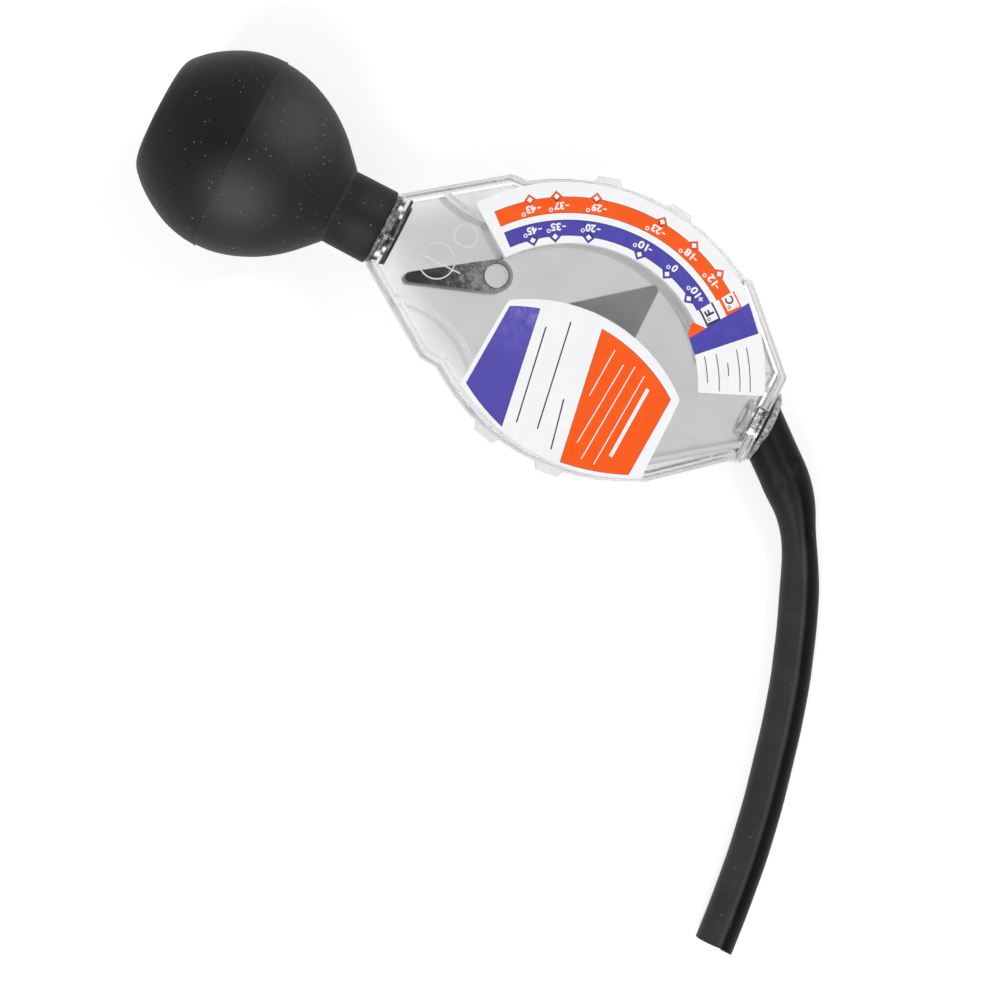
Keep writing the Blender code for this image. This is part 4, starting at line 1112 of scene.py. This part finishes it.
def makeCentrePrint(look):
    inks = [inkBrown, inkOrange, inkNavy, inkBlueWorn, inkWhite, inkBlack]
    bm = bmesh.new()
    for line, colour, top, base in look["panels"]:
        outline = arcThrough(*top, 16) + arcThrough(*base, 12)
        inkSheet(bm, outline, "outline", line)
        inkSheet(bm, shrink(outline, look["line"]), "colour", colour)
    for layer, ink, width, rules in look["rules"]:
        for rule in rules:
            inkSheet(bm, ruleOutline(*rule, width), layer, ink)
    printed("centrePrint", bm, inks)


makeFilms(films)
makeBands(dial)
makeDiamonds(dial)
makeNumbers(dial)
makeCentrePrint(centrePrint)
print("labels printed")


# Floor, world and lamps

studio = {
    "floorSize": 6.0, "floor": (0.80, 0.80, 0.80),
    "lift": 0.50, "liftFrom": 0.22, "liftTo": 0.9, "liftThrough": 0.64,  # the floor's own white, metres away
    "zenith": 0.22, "horizon": 0.36,  # the light from the world
    "whiteTo": 0.45, "ceilingFrom": 0.90, "ceiling": 0.22,  # how the world looks, by height
    "lamps": {
        "hoseSide": {"place": (400, 640, 800), "size": 500, "power": 6.2},
        "nearSide": {"place": (-19, -700, 800), "size": 500, "power": 5.9},
    },
}


def seenDirectly(tree):
    # 1 for the rays that should meet a white background.
    rays = tree.nodes.new("ShaderNodeLightPath").outputs
    first, second = maths(tree, "MAXIMUM"), maths(tree, "MAXIMUM")
    join(tree, (rays["Is Camera Ray"], first), (rays["Is Glossy Ray"], first.inputs[1]),
         (first, second), (rays["Is Transmission Ray"], second.inputs[1]))
    return second


def makeStudio(look):
    bm = bmesh.new()
    half = look["floorSize"] / 2
    corners = ((-half, -half), (half, -half), (half, half), (-half, half))
    bm.faces.new([bm.verts.new((x, y, 0)) for x, y in corners])
    floor = freshObject("floor", meshOf("floor", bm))
    material, tree, shader = newMaterial("floorWhite", Base_Color=(*look["floor"], 1), Roughness=0.9)
    shader.inputs["Specular IOR Level"].default_value = 0.0
    shader.inputs["Emission Color"].default_value = (1, 1, 1, 1)
    rays = tree.nodes.new("ShaderNodeLightPath").outputs
    apart = addNode(tree, "ShaderNodeVectorMath", operation="LENGTH")
    far = mapRange(tree, look["liftFrom"], look["liftTo"], look["lift"], 1.0, "SMOOTHSTEP")
    lift = maths(tree, "MULTIPLY")
    through = maths(tree, "MULTIPLY", look["liftThrough"])
    most = maths(tree, "MAXIMUM")
    join(tree, (objectPlace(tree), apart), (apart.outputs["Value"], far),
         (seenDirectly(tree), lift), (far, lift.inputs[1]),
         (rays["Is Transmission Ray"], through), (lift, most),
         (through, most.inputs[1]), (most, shader.inputs["Emission Strength"]))
    floor.data.materials.append(material)

    world = bpy.data.worlds.new("studio")
    bpy.context.scene.world = world
    world.use_nodes = True
    tree = world.node_tree
    background = tree.nodes["Background"]
    background.inputs["Color"].default_value = (1, 1, 1, 1)
    coords = tree.nodes.new("ShaderNodeTexCoord")
    separate = tree.nodes.new("ShaderNodeSeparateXYZ")
    level = mapRange(tree, 0, 1, look["horizon"], look["zenith"])
    shown = mapRange(tree, look["whiteTo"], look["ceilingFrom"], 1.0, look["ceiling"])
    pick = tree.nodes.new("ShaderNodeMix")
    join(tree, (coords.outputs["Generated"], separate), (separate.outputs["Z"], level),
         (separate.outputs["Z"], shown), (shown, pick.inputs[3]),
         (level, pick.inputs[2]), (seenDirectly(tree), pick),
         (pick, background.inputs["Strength"]))

    for name, lamp in look["lamps"].items():
        data = bpy.data.lights.new(name, "AREA")
        data.shape = "SQUARE"
        data.size = lamp["size"] * mm
        data.energy = lamp["power"]
        light = bpy.data.objects.new(name, data)
        bpy.context.scene.collection.objects.link(light)
        light.location = Vector(lamp["place"]) * mm
        light.rotation_euler = (-light.location).to_track_quat("-Z", "Y").to_euler()
    print("floor, world and lamps set")


makeStudio(studio)
